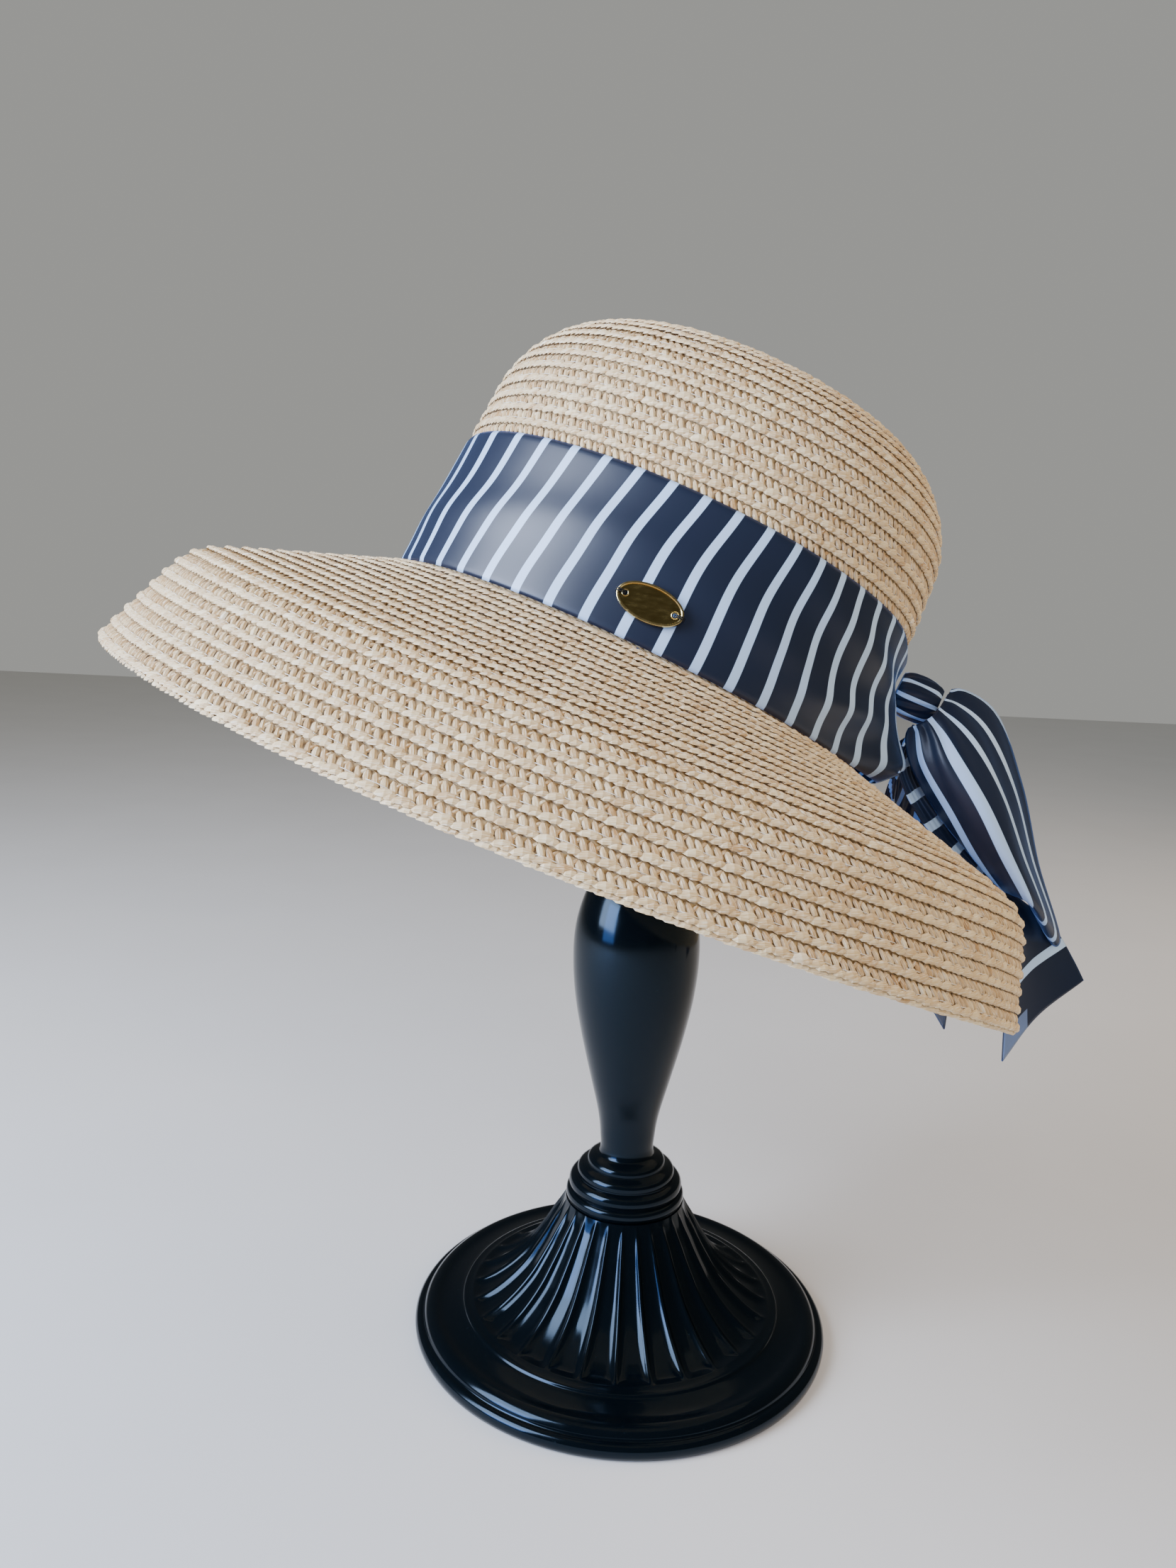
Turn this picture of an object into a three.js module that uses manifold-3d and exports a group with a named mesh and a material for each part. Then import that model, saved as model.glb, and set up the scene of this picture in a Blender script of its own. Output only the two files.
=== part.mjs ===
// Wide-brimmed straw sun hat with a satin sash and bow, leaning on a turned hat stand.
// Millimetres, +Z up. The origin is the middle of the stand's foot on the floor, and -Y is the front.
import * as THREE from 'three';
import { mergeVertices } from 'three/addons/utils/BufferGeometryUtils.js';
import Module from 'manifold-3d';

const wasm = await Module();
wasm.setup();

// Clearance between pieces that touch
const seatGap = 0.3;

// Stand
const footRadius = 91.3;
const rimWidth = 25.3;
const rimHeight = 14;
const baseHeight = 60;
const collarRadius = 26;
const collarHeight = 21;
const fluteCount = 28;
const fluteDepth = 2.2;
const neckRadius = 11.3;
const bellyRadius = 27.1;
const balusterHeight = 134;
const stemRadius = 13;
const capRadius = 50;
const capDomeRadius = 60;
const capLipHeight = 4;
const capSocketDepth = 10;

// Hat's lean: turned about its own axis, then tipped to the right, then tipped to the back
const hatTurn = -5.9;
const hatLeanRight = 22.78;
const hatLeanBack = -12.37;
const hatRingX = -10.3;
const hatRingY = -25.9;
const hatRingZ = 293;

// Crown
const strawWall = 2;
const crownHalfLength = 96.8;
const crownHalfWidth = 83.4;
const crownTopHalfLength = 92.3;
const crownTopHalfWidth = 80.1;
const crownSideHeight = 75.4;
const shoulderRadius = 43.8;

// Brim
const brimWidth = 117.6;
const brimSlopeInner = 23.2;
const brimSlopeOuter = 64.4;
const brimBendAt = 76.4;
const brimBendLength = 3.5;
const brimTuckAngle = -4;
const brimTuckSpread = 20;
const brimTuck = 0.21;

// Sash
const bandHeight = 54.3;
const bandThickness = 1;
const bandFold = 1.3;

// Bow, tied at the back of the band
const bowAngle = 1;
const knotRise = 38.4;
const knotLength = 16;
const knotHalfHeight = 9.5;
const knotHalfWidth = 8.5;
const clothThickness = 1.2;
const loopGap = 9;
const loopFoldReach = 1.8;
const bowDrop = 107;
const bowLift = 40;

// Plaque on the front of the band
const plaqueAngle = -82.4;
const plaqueRise = 13.6;
const plaqueLength = 23.5;
const plaqueWidth = 12.5;
const plaqueThickness = 0.9;
const plaqueRimWidth = 1.1;
const plaqueRimHeight = 0.6;
const threadHoleRadius = 0.7;
const threadHoleInset = 3;

const hatSegments = 56;
const degrees = THREE.MathUtils.degToRad;
const lerp = THREE.MathUtils.lerp;

const material = (color, roughness, metalness = 0) =>
  new THREE.MeshStandardMaterial({ color, roughness, metalness });
const straw = material(0xc8a573, 0.75);
const satin = material(0x23283a, 0.4);
const lacquer = material(0x0b1216, 0.15);
const brass = material(0xb08a4a, 0.35, 1);

// A closed solid between two grids of points. Rows run along it, columns across or around it.
function wall(outer, inner, around) {
  const positions = [];
  const triangle = (a, b, c) => {
    const ab = b.clone().sub(a);
    const ac = c.clone().sub(a);
    if (ab.cross(ac).length() > 1e-7) positions.push(...a, ...b, ...c);
  };
  const quad = (a, b, c, d) => {
    triangle(a, b, c);
    triangle(a, c, d);
  };
  const rows = outer.length;
  const columns = outer[0].length;
  const steps = around ? columns : columns - 1;
  for (let j = 0; j < steps; j++) {
    const k = (j + 1) % columns;
    for (let i = 0; i + 1 < rows; i++) {
      quad(outer[i][j], outer[i][k], outer[i + 1][k], outer[i + 1][j]);
      quad(inner[i][j], inner[i + 1][j], inner[i + 1][k], inner[i][k]);
    }
    quad(inner[0][j], inner[0][k], outer[0][k], outer[0][j]);
    quad(outer[rows - 1][j], outer[rows - 1][k], inner[rows - 1][k], inner[rows - 1][j]);
  }
  if (!around) {
    const last = columns - 1;
    for (let i = 0; i + 1 < rows; i++) {
      quad(outer[i][0], outer[i + 1][0], inner[i + 1][0], inner[i][0]);
      quad(outer[i + 1][last], outer[i][last], inner[i][last], inner[i + 1][last]);
    }
  }
  const geometry = new THREE.BufferGeometry();
  geometry.setAttribute('position', new THREE.Float32BufferAttribute(positions, 3));
  return facingOut(geometry);
}

// Turns every triangle over when the faces of a closed shape point inwards
function facingOut(geometry) {
  const p = geometry.getAttribute('position');
  const corner = (i) => new THREE.Vector3().fromBufferAttribute(p, i);
  let volume = 0;
  for (let i = 0; i < p.count; i += 3) volume += corner(i).dot(corner(i + 1).cross(corner(i + 2)));
  if (volume < 0) {
    for (let i = 0; i < p.count; i += 3) {
      const second = corner(i + 1);
      const third = corner(i + 2);
      p.setXYZ(i + 1, ...third);
      p.setXYZ(i + 2, ...second);
    }
  }
  return geometry;
}

function part(name, geometry, look) {
  const mesh = new THREE.Mesh(geometry, look);
  mesh.name = name;
  return mesh;
}

const around = (count) => Array.from({ length: count }, (_, j) => (2 * Math.PI * j) / count);

// Hat, in its own frame: +Z is the crown's axis and +X the back, where the bow is

// The crown's outside from the band's edge up to the top: height and half axes of each ring
const sideShares = [0, 0.36, 0.72, 1];
const shoulderSteps = 5;

function crownRings() {
  const rings = sideShares.map((share) => ({
    z: crownSideHeight * share,
    a: lerp(crownHalfLength, crownTopHalfLength, share),
    b: lerp(crownHalfWidth, crownTopHalfWidth, share),
    facing: 0,
  }));
  for (let i = 1; i <= shoulderSteps; i++) {
    const facing = (Math.PI / 2) * (i / shoulderSteps);
    const inset = shoulderRadius * (1 - Math.cos(facing));
    const z = crownSideHeight + shoulderRadius * Math.sin(facing);
    rings.push({ z, a: crownTopHalfLength - inset, b: crownTopHalfWidth - inset, facing });
  }
  const top = rings[rings.length - 1];
  rings.push({ z: top.z, a: 0, b: 0, facing: top.facing });
  return rings;
}

function strawCrown() {
  const ring = (row, offset) =>
    around(hatSegments).map((t) => {
      const shrink = row.a === 0 ? 0 : offset * Math.cos(row.facing);
      const z = row.z - offset * Math.sin(row.facing);
      return new THREE.Vector3((row.a - shrink) * Math.cos(t), (row.b - shrink) * Math.sin(t), z);
    });
  const rings = crownRings();
  return wall(rings.map((row) => ring(row, 0)), rings.map((row) => ring(row, strawWall)), true);
}

// How the brim's width, slopes and bend vary around the head: share of the size, by cosine terms
const brimWaves = {
  width: { once: -0.008, twice: -0.02 },
  slopeInner: { once: -0.15, twice: -0.19 },
  slopeOuter: { once: -0.096, twice: 0.051 },
  bendAt: { once: 0.015, twice: -0.015 },
};
const turnBetween = (t, u) => Math.atan2(Math.sin(t - u), Math.cos(t - u));
const waved = (size, wave, t) => size * (1 + wave.once * Math.cos(t) + wave.twice * Math.cos(2 * t));

// The brim's outer part is steeper on the bow's side
function tucked(t) {
  const away = turnBetween(t, degrees(brimTuckAngle)) / degrees(brimTuckSpread);
  return brimSlopeOuter * brimTuck * Math.exp(-away * away);
}

// A point on the brim's upper face: t is the angle around the head, along the share of the width
function brimPoint(t, along) {
  const width = waved(brimWidth, brimWaves.width, t);
  const inner = degrees(waved(brimSlopeInner, brimWaves.slopeInner, t));
  const outer = degrees(waved(brimSlopeOuter, brimWaves.slopeOuter, t) + tucked(t));
  const bend = waved(brimBendAt, brimWaves.bendAt, t);
  const steps = 40;
  const step = (width * along) / steps;
  let reach = 0;
  let drop = 0;
  for (let i = 0; i < steps; i++) {
    const bent = 1 / (1 + Math.exp((bend - step * (i + 0.5)) / brimBendLength));
    const slope = lerp(inner, outer, bent);
    reach += step * Math.cos(slope);
    drop += step * Math.sin(slope);
  }
  const x = (crownHalfLength + reach) * Math.cos(t);
  const y = (crownHalfWidth + reach) * Math.sin(t);
  return new THREE.Vector3(x, y, -seatGap - drop);
}

// The brim's upward normal at a point
function brimNormal(t, along) {
  const step = 0.005;
  const out = brimPoint(t, along + step).sub(brimPoint(t, along - step));
  const side = brimPoint(t + step, along).sub(brimPoint(t - step, along));
  return out.cross(side).normalize();
}

const brimStations = [0, 0.3, 0.54, 0.61, 0.66, 0.72, 0.86, 1];

function strawBrim() {
  const angles = around(hatSegments);
  const ledge = (depth) =>
    angles.map((t) => {
      const x = (crownHalfLength - strawWall) * Math.cos(t);
      const y = (crownHalfWidth - strawWall) * Math.sin(t);
      return new THREE.Vector3(x, y, -seatGap - depth);
    });
  const upper = brimStations.map((along) => angles.map((t) => brimPoint(t, along)));
  const lower = brimStations.map((along) =>
    angles.map((t) => brimPoint(t, along).addScaledVector(brimNormal(t, along), -strawWall)),
  );
  return wall([ledge(0), ...upper], [ledge(strawWall), ...lower], true);
}

// Long shallow folds of the sash: place around the head, height and spread as shares, and depth
const bandFolds = [
  { angle: -100, rise: 0.55, slant: 0.12, spread: 34, depth: 0.7 },
  { angle: -58, rise: 0.42, slant: -0.1, spread: 30, depth: 1 },
  { angle: -38, rise: 0.68, slant: -0.3, spread: 26, depth: 0.9 },
  { angle: -140, rise: 0.4, slant: 0.05, spread: 26, depth: 0.6 },
  { angle: 60, rise: 0.5, slant: 0.2, spread: 32, depth: 1 },
  { angle: 130, rise: 0.45, slant: -0.1, spread: 36, depth: 0.7 },
];
const bandRowShares = [0, 0.2, 0.4, 0.6, 0.8, 1];
const bandFoldHeight = 0.16;
const bandPinchSpread = degrees(13);
const bandPinch = { lower: 0.26, upper: 0.1, pleat: 1.4, pleats: 2.5 };

function bandRelief(t, share) {
  let relief = 0;
  for (const fold of bandFolds) {
    const away = turnBetween(t, degrees(fold.angle)) / degrees(fold.spread);
    const off = (share - fold.rise - fold.slant * away) / bandFoldHeight;
    relief += bandFold * fold.depth * Math.exp(-away * away - off * off);
  }
  const pinch = Math.exp(-((turnBetween(t, degrees(bowAngle)) / bandPinchSpread) ** 2));
  const pleat = 0.5 - 0.5 * Math.cos(2 * Math.PI * bandPinch.pleats * share);
  return relief + bandPinch.pleat * pinch * pleat;
}

// A point on the sash: share runs up its height, lift is measured out from the crown
function bandPoint(t, share, lift) {
  const pinch = Math.exp(-((turnBetween(t, degrees(bowAngle)) / bandPinchSpread) ** 2));
  const low = seatGap + bandHeight * bandPinch.lower * pinch;
  const high = bandHeight * (1 - bandPinch.upper * pinch);
  const z = lerp(low, high, share);
  const taper = z / crownSideHeight;
  const out = seatGap + lift + bandRelief(t, share);
  const a = lerp(crownHalfLength, crownTopHalfLength, taper) + out;
  const b = lerp(crownHalfWidth, crownTopHalfWidth, taper) + out;
  return new THREE.Vector3(a * Math.cos(t), b * Math.sin(t), z);
}

function ribbonBand() {
  const row = (share, lift) => around(hatSegments).map((t) => bandPoint(t, share, lift));
  const rows = (lift) => bandRowShares.map((share) => row(share, lift));
  return wall(rows(bandThickness), rows(0), true);
}

// The bow's knot runs from the band out to the point that the loops start from
const knotAngle = degrees(bowAngle);

function knotAxis() {
  const taper = knotRise / crownSideHeight;
  const a = lerp(crownHalfLength, crownTopHalfLength, taper);
  const b = lerp(crownHalfWidth, crownTopHalfWidth, taper);
  const start = new THREE.Vector3(a * Math.cos(knotAngle), b * Math.sin(knotAngle), knotRise);
  const out = new THREE.Vector3(Math.cos(knotAngle), Math.sin(knotAngle), 0);
  const side = new THREE.Vector3(-Math.sin(knotAngle), Math.cos(knotAngle), 0);
  return { start, out, side, up: new THREE.Vector3(0, 0, 1) };
}

// Sections of the knot: how far along, its width and height as shares
const knotSections = [
  { along: 0, wide: 0, high: 0 },
  { along: 0, wide: 0.84, high: 0.82 },
  { along: 0.2, wide: 0.95, high: 0.96 },
  { along: 0.5, wide: 1, high: 1 },
  { along: 0.8, wide: 0.96, high: 0.94 },
  { along: 1, wide: 0.78, high: 0.76 },
  { along: 1, wide: 0, high: 0 },
];
const knotSides = 24;
const knotPleats = 6;
const knotPleatDepth = 0.07;
const knotStandOff = seatGap + bandThickness + bandPinch.pleat + seatGap;

function bowKnot() {
  const { start, out, side, up } = knotAxis();
  const ring = (row) =>
    around(knotSides).map((t) => {
      const pleat = 1 + knotPleatDepth * Math.cos(knotPleats * t);
      const reach = knotStandOff + knotLength * row.along;
      return start
        .clone()
        .addScaledVector(out, reach)
        .addScaledVector(side, knotHalfWidth * row.wide * pleat * Math.cos(t))
        .addScaledVector(up, knotHalfHeight * row.high * pleat * Math.sin(t));
    });
  const middle = { along: 0.5, wide: 0, high: 0 };
  return wall(knotSections.map(ring), knotSections.map(() => ring(middle)), true);
}

// Cloth of the bow. Each row holds the cloth's one edge, its crest and its other edge. Each of these is
// an angle beside the knot in degrees, a share of the bow's drop beyond the knot, and a share of its lift.
const nearLoopRows = [
  [[-6.2, -0.055, 0.68], [-7.8, -0.017, 0.86], [-1.5, -0.032, 1.25]],
  [[-6.4, -0.037, 0.591], [-8.9, 0.059, 0.802], [-0.5, 0.014, 1.334]],
  [[-6.1, 0.039, 0.433], [-9.8, 0.16, 0.693], [1.3, 0.154, 1.387]],
  [[-3.9, 0.235, 0.25], [-8.8, 0.357, 0.516], [3.2, 0.423, 1.045]],
  [[-1.9, 0.431, 0.165], [-6.1, 0.531, 0.331], [4.9, 0.648, 0.607]],
  [[2, 0.633, 0.15], [-1.7, 0.684, 0.225], [6.6, 0.799, 0.6]],
];
const farLoopRows = [
  [[4, -0.018, 1.1], [7.4, -0.017, 0.85], [8.2, -0.045, 0.57]],
  [[5.5, 0.05, 0.95], [12, 0.06, 0.8], [11.5, 0, 0.52]],
  [[9, 0.16, 0.8], [17.5, 0.17, 0.7], [18, 0.1, 0.37]],
  [[14.5, 0.36, 0.62], [24, 0.36, 0.55], [28, 0.28, 0.27]],
  [[18.5, 0.56, 0.45], [29, 0.55, 0.42], [35, 0.46, 0.19]],
  [[21, 0.72, 0.33], [31, 0.7, 0.3], [38, 0.62, 0.18]],
];
const nearTailRows = [
  [[-0.6, -0.05, 0.763], [0.4, -0.05, 0.773], [1.5, -0.048, 0.773]],
  [[-3, 0.02, 0.25], [-1, 0.06, 0.34], [1.4, 0.12, 0.42]],
  [[-2.4, 0.27, 0.08], [-0.5, 0.32, 0.18], [2.3, 0.38, 0.34]],
  [[0.2, 0.54, 0.065], [2, 0.57, 0.11], [4.4, 0.62, 0.22]],
  [[2.4, 0.78, 0.07], [4.6, 0.78, 0.2], [7, 0.81, 0.47]],
  [[3.2, 0.98, 0.07], [5.4, 0.93, 0.3], [8.2, 0.885, 0.72]],
  [[4.4, 1.27, 0.13], [6.2, 1.09, 0.42], [8.7, 0.938, 0.906]],
];
const farTailRows = [
  [[2.3, -0.05, 0.785], [3, -0.05, 0.805], [3.8, -0.05, 0.82]],
  [[8, 0.1, 0.18], [11, 0.1, 0.2], [14, 0.1, 0.18]],
  [[15, 0.3, 0.1], [20, 0.3, 0.12], [24, 0.3, 0.1]],
  [[20, 0.55, 0.07], [27, 0.55, 0.09], [33, 0.55, 0.07]],
  [[22, 0.8, 0.1], [30, 0.8, 0.13], [37, 0.8, 0.1]],
  [[23, 1.29, 0.1], [30, 1.16, 0.13], [37, 1.03, 0.1]],
];
// The gap between a loop's two layers at each row, as shares of its largest, and at each edge and crest
const loopGapRows = [0.29, 0.44, 0.78, 1, 0.78, 0.38];
const nearGapEdges = [0.7, 1, 1];
const farGapEdges = [1, 1, 0.7];
const clothColumns = 7;

// How far out along the brim the knot's end stands, where the bow's cloth begins
const slopeAtKnot = degrees(waved(brimSlopeInner, brimWaves.slopeInner, knotAngle));
const rootReach = knotStandOff + knotLength + 2 * seatGap - bowLift * Math.sin(slopeAtKnot);

function bowPoint([angle, along, lift]) {
  const t = knotAngle + degrees(angle);
  const share = lerp(rootReach, bowDrop, along) / brimWidth;
  return brimPoint(t, share).addScaledVector(brimNormal(t, share), lift * bowLift);
}

// Directions square to a grid of points, on the side away from the brim
function gridNormals(grid) {
  return grid.map((row, i) =>
    row.map((_, j) => {
      const along = grid[Math.min(i + 1, grid.length - 1)][j].clone().sub(grid[Math.max(i - 1, 0)][j]);
      const over = row[Math.min(j + 1, row.length - 1)].clone().sub(row[Math.max(j - 1, 0)]);
      return along.cross(over).normalize();
    }),
  );
}

// A loop runs out, folds over at its end and comes back underneath
function loopGrid(rows, gapEdges) {
  const top = rows.map((row) => row.map(bowPoint));
  const normals = gridNormals(top);
  const under = top.map((row, i) =>
    row.map((point, j) => {
      const gap = loopGap * loopGapRows[i] * gapEdges[j];
      return point.clone().addScaledVector(normals[i][j], -gap);
    }),
  );
  const last = top.length - 1;
  const fold = top[last].map((point, j) => {
    const ahead = point.clone().sub(top[last - 1][j]).normalize();
    return point.clone().lerp(under[last][j], 0.5).addScaledVector(ahead, loopFoldReach);
  });
  return [...top, fold, ...under.reverse()];
}

// A wall of cloth on a smooth surface through a grid of points
function clothWall(grid, steps) {
  const lines = grid[0].map((_, j) => new THREE.CatmullRomCurve3(grid.map((row) => row[j])));
  const fine = Array.from({ length: steps + 1 }, (_, i) => {
    const across = new THREE.CatmullRomCurve3(lines.map((line) => line.getPoint(i / steps)));
    return Array.from({ length: clothColumns }, (_, j) => across.getPoint(j / (clothColumns - 1)));
  });
  const normals = gridNormals(fine);
  const layer = (lift) =>
    fine.map((row, i) => row.map((point, j) => point.clone().addScaledVector(normals[i][j], lift)));
  return wall(layer(clothThickness / 2), layer(-clothThickness / 2), false);
}

// Small oval plate with a raised rim and a thread hole at each end
const plaqueSides = 24;

function toManifold(geometry) {
  const plain = new THREE.BufferGeometry();
  plain.setAttribute('position', geometry.getAttribute('position').clone());
  if (geometry.index) plain.setIndex(geometry.index.clone());
  const merged = mergeVertices(plain, 1e-4);
  const mesh = new wasm.Mesh({
    numProp: 3,
    vertProperties: Float32Array.from(merged.getAttribute('position').array),
    triVerts: Uint32Array.from(merged.index.array),
  });
  return new wasm.Manifold(mesh);
}

function fromManifold(solid) {
  const mesh = solid.getMesh();
  const geometry = new THREE.BufferGeometry();
  geometry.setAttribute('position', new THREE.BufferAttribute(mesh.vertProperties, 3));
  geometry.setIndex(new THREE.BufferAttribute(mesh.triVerts, 1));
  return geometry;
}

function ovalPlaque() {
  const top = plaqueThickness + plaqueRimHeight;
  const ring = (inset, z) =>
    around(plaqueSides).map((t) => {
      const x = (plaqueLength / 2 - inset) * Math.cos(t);
      const y = (plaqueWidth / 2 - inset) * Math.sin(t);
      return new THREE.Vector3(x, y, z);
    });
  const point = (z) => around(plaqueSides).map(() => new THREE.Vector3(0, 0, z));
  const face = [
    ring(0, 0),
    ring(0, plaqueThickness),
    ring(plaqueRimWidth * 0.3, top),
    ring(plaqueRimWidth * 0.75, top),
    ring(plaqueRimWidth, plaqueThickness),
    point(plaqueThickness),
  ];
  let plate = toManifold(wall(face, face.map(() => point(0)), true));
  for (const end of [-1, 1]) {
    const drill = new THREE.CylinderGeometry(threadHoleRadius, threadHoleRadius, 4 * plaqueThickness, 10);
    drill.rotateX(Math.PI / 2);
    drill.translate(end * (plaqueLength / 2 - threadHoleInset), 0, plaqueThickness / 2);
    plate = plate.subtract(toManifold(drill));
  }
  return fromManifold(plate);
}

function placedPlaque() {
  const t = degrees(plaqueAngle);
  const share = plaqueRise / bandHeight;
  const step = 0.02;
  const seat = (u, v) => bandPoint(u, v, bandThickness);
  const alongBand = seat(t + step, share).sub(seat(t - step, share)).normalize();
  const upBand = seat(t, share + step).sub(seat(t, share - step)).normalize();
  const outward = alongBand.clone().cross(upBand).normalize();
  const reach = plaqueLength / 2;
  let proud = 0;
  for (const along of [-1, -0.5, 0, 0.5, 1]) {
    for (const rise of [-1, 0, 1]) {
      const turn = (along * reach) / crownHalfLength;
      const point = seat(t + turn, share + (rise * plaqueWidth) / 2 / bandHeight);
      proud = Math.max(proud, point.sub(seat(t, share)).dot(outward));
    }
  }
  const mesh = part('oval_plaque', ovalPlaque(), brass);
  mesh.position.copy(seat(t, share)).addScaledVector(outward, proud + seatGap);
  const basis = new THREE.Matrix4().makeBasis(alongBand, outward.clone().cross(alongBand), outward);
  mesh.setRotationFromMatrix(basis);
  return mesh;
}

const hat = new THREE.Group();
hat.rotation.set(degrees(hatLeanBack), degrees(hatLeanRight), degrees(hatTurn), 'XYZ');
hat.position.set(hatRingX, hatRingY, hatRingZ);
hat.add(part('straw_crown', strawCrown(), straw));
hat.add(part('straw_brim', strawBrim(), straw));
hat.add(part('ribbon_band', ribbonBand(), satin));
hat.add(part('bow_knot', bowKnot(), satin));
hat.add(part('bow_loop_near', clothWall(loopGrid(nearLoopRows, nearGapEdges), 24), satin));
hat.add(part('bow_loop_far', clothWall(loopGrid(farLoopRows, farGapEdges), 24), satin));
hat.add(part('bow_tail_near', clothWall(nearTailRows.map((row) => row.map(bowPoint)), 12), satin));
hat.add(part('bow_tail_far', clothWall(farTailRows.map((row) => row.map(bowPoint)), 10), satin));
hat.add(placedPlaque());

// Stand, turned about the upright axis

// The foot's rim from its underside up to the flutes, as shares of the rim's width and height
const rimProfile = [
  { out: 0.87, up: 0 },
  { out: 1, up: 0.18 },
  { out: 1, up: 0.34 },
  { out: 0.91, up: 0.485 },
  { out: 0.854, up: 0.5 },
  { out: 0.814, up: 0.657 },
  { out: 0.672, up: 0.77 },
  { out: 0.534, up: 0.743 },
  { out: 0.178, up: 0.87 },
  { out: 0.15, up: 0.943 },
  { out: 0, up: 1 },
];
// The fluted rise from the rim to the collar, and how deep the flutes are on it
const fluteProfile = [
  { out: 0.875, up: 0.048, depth: 0.8 },
  { out: 0.65, up: 0.185, depth: 1 },
  { out: 0.425, up: 0.39, depth: 1 },
  { out: 0.225, up: 0.66, depth: 0.8 },
  { out: 0.075, up: 0.88, depth: 0.45 },
  { out: 0, up: 1, depth: 0 },
];

function standBase() {
  const fluteRadius = footRadius - rimWidth;
  const rim = rimProfile.map((row) => ({
    r: fluteRadius + rimWidth * row.out,
    z: rimHeight * row.up,
    depth: 0,
  }));
  const rise = fluteProfile.map((row) => ({
    r: collarRadius + (fluteRadius - collarRadius) * row.out,
    z: rimHeight + (baseHeight - rimHeight) * row.up,
    depth: fluteDepth * row.depth,
  }));
  const profile = [{ r: 0, z: 0, depth: 0 }, ...rim, ...rise, { r: 0, z: baseHeight, depth: 0 }];
  const segments = fluteCount * 3;
  const geometry = new THREE.LatheGeometry(profile.map((row) => new THREE.Vector2(row.r, row.z)), segments);
  geometry.rotateX(Math.PI / 2);
  const p = geometry.getAttribute('position');
  for (let i = 0; i < p.count; i++) {
    const row = profile[i % profile.length];
    if (row.depth === 0) continue;
    const column = Math.floor(i / profile.length) % segments;
    const cut = column % 3 === 0 ? 0 : row.depth;
    const shrink = 1 - (cut * Math.SQRT1_2) / row.r;
    p.setXYZ(i, p.getX(i) * shrink, p.getY(i) * shrink, p.getZ(i) - cut * Math.SQRT1_2);
  }
  return geometry;
}

// Stacked rings of the collar, from its foot up to the neck
const collarProfile = [
  { out: 0.98, up: 0 },
  { out: 1, up: 0.1 },
  { out: 0.97, up: 0.2 },
  { out: 0.88, up: 0.23 },
  { out: 0.92, up: 0.3 },
  { out: 0.9, up: 0.42 },
  { out: 0.79, up: 0.5 },
  { out: 0.67, up: 0.52 },
  { out: 0.68, up: 0.6 },
  { out: 0.59, up: 0.71 },
  { out: 0.4, up: 0.75 },
  { out: 0.38, up: 0.84 },
  { out: 0.28, up: 0.92 },
  { out: 0.1, up: 0.96 },
];
// The vase-shaped swelling above it, from the neck to the stem
const balusterProfile = [
  { out: 0.02, up: 0.03 },
  { out: 0.12, up: 0.13 },
  { out: 0.41, up: 0.27 },
  { out: 0.7, up: 0.41 },
  { out: 0.91, up: 0.54 },
  { out: 1, up: 0.66 },
  { out: 0.96, up: 0.77 },
  { out: 0.74, up: 0.87 },
  { out: 0.42, up: 0.94 },
];

// Where the crown's inside top rests on the cap's dome
function capDomeCentre() {
  const axis = new THREE.Vector3(0, 0, 1).applyEuler(hat.rotation);
  const topInside = crownSideHeight + shoulderRadius - strawWall;
  const level = axis.dot(hat.position) + topInside;
  return (level - capDomeRadius - seatGap) / axis.z;
}

const lathe = (profile, segments) => {
  const points = profile.map(([r, z]) => new THREE.Vector2(r, z));
  return new THREE.LatheGeometry(points, segments).rotateX(Math.PI / 2);
};

const capRimHeight = capDomeCentre() + Math.sqrt(capDomeRadius ** 2 - capRadius ** 2);
const capBottom = capRimHeight - capLipHeight;

function standColumn() {
  const foot = baseHeight + seatGap;
  const neck = foot + collarHeight;
  const collar = collarProfile.map(({ out, up }) => [
    lerp(neckRadius, collarRadius, out),
    foot + collarHeight * up,
  ]);
  const baluster = balusterProfile.map(({ out, up }) => [
    lerp(neckRadius, bellyRadius, out),
    neck + balusterHeight * up,
  ]);
  const top = capBottom + capSocketDepth - seatGap;
  const stem = [[stemRadius, neck + balusterHeight], [stemRadius, top]];
  return lathe([[0, foot], ...collar, ...baluster, ...stem, [0, top]], 24);
}

function standCap() {
  const centre = capDomeCentre();
  const edge = Math.asin(capRadius / capDomeRadius);
  const steps = 6;
  const dome = [];
  for (let i = 0; i < steps; i++) {
    const angle = edge * (1 - i / steps);
    dome.push([capDomeRadius * Math.sin(angle), centre + capDomeRadius * Math.cos(angle)]);
  }
  const socket = stemRadius + seatGap;
  return lathe(
    [
      [0, capBottom + capSocketDepth],
      [socket, capBottom + capSocketDepth],
      [socket, capBottom],
      [capRadius, capBottom],
      ...dome,
      [0, centre + capDomeRadius],
    ],
    32,
  );
}

const stand = new THREE.Group();
stand.add(part('stand_base', standBase(), lacquer));
stand.add(part('stand_column', standColumn(), lacquer));
stand.add(part('stand_cap', standCap(), lacquer));

const group = new THREE.Group();
group.add(stand, hat);
group.updateMatrixWorld(true);
export default group;
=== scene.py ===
import math
import bpy
import numpy as np
from mathutils import Matrix, Vector


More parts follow.
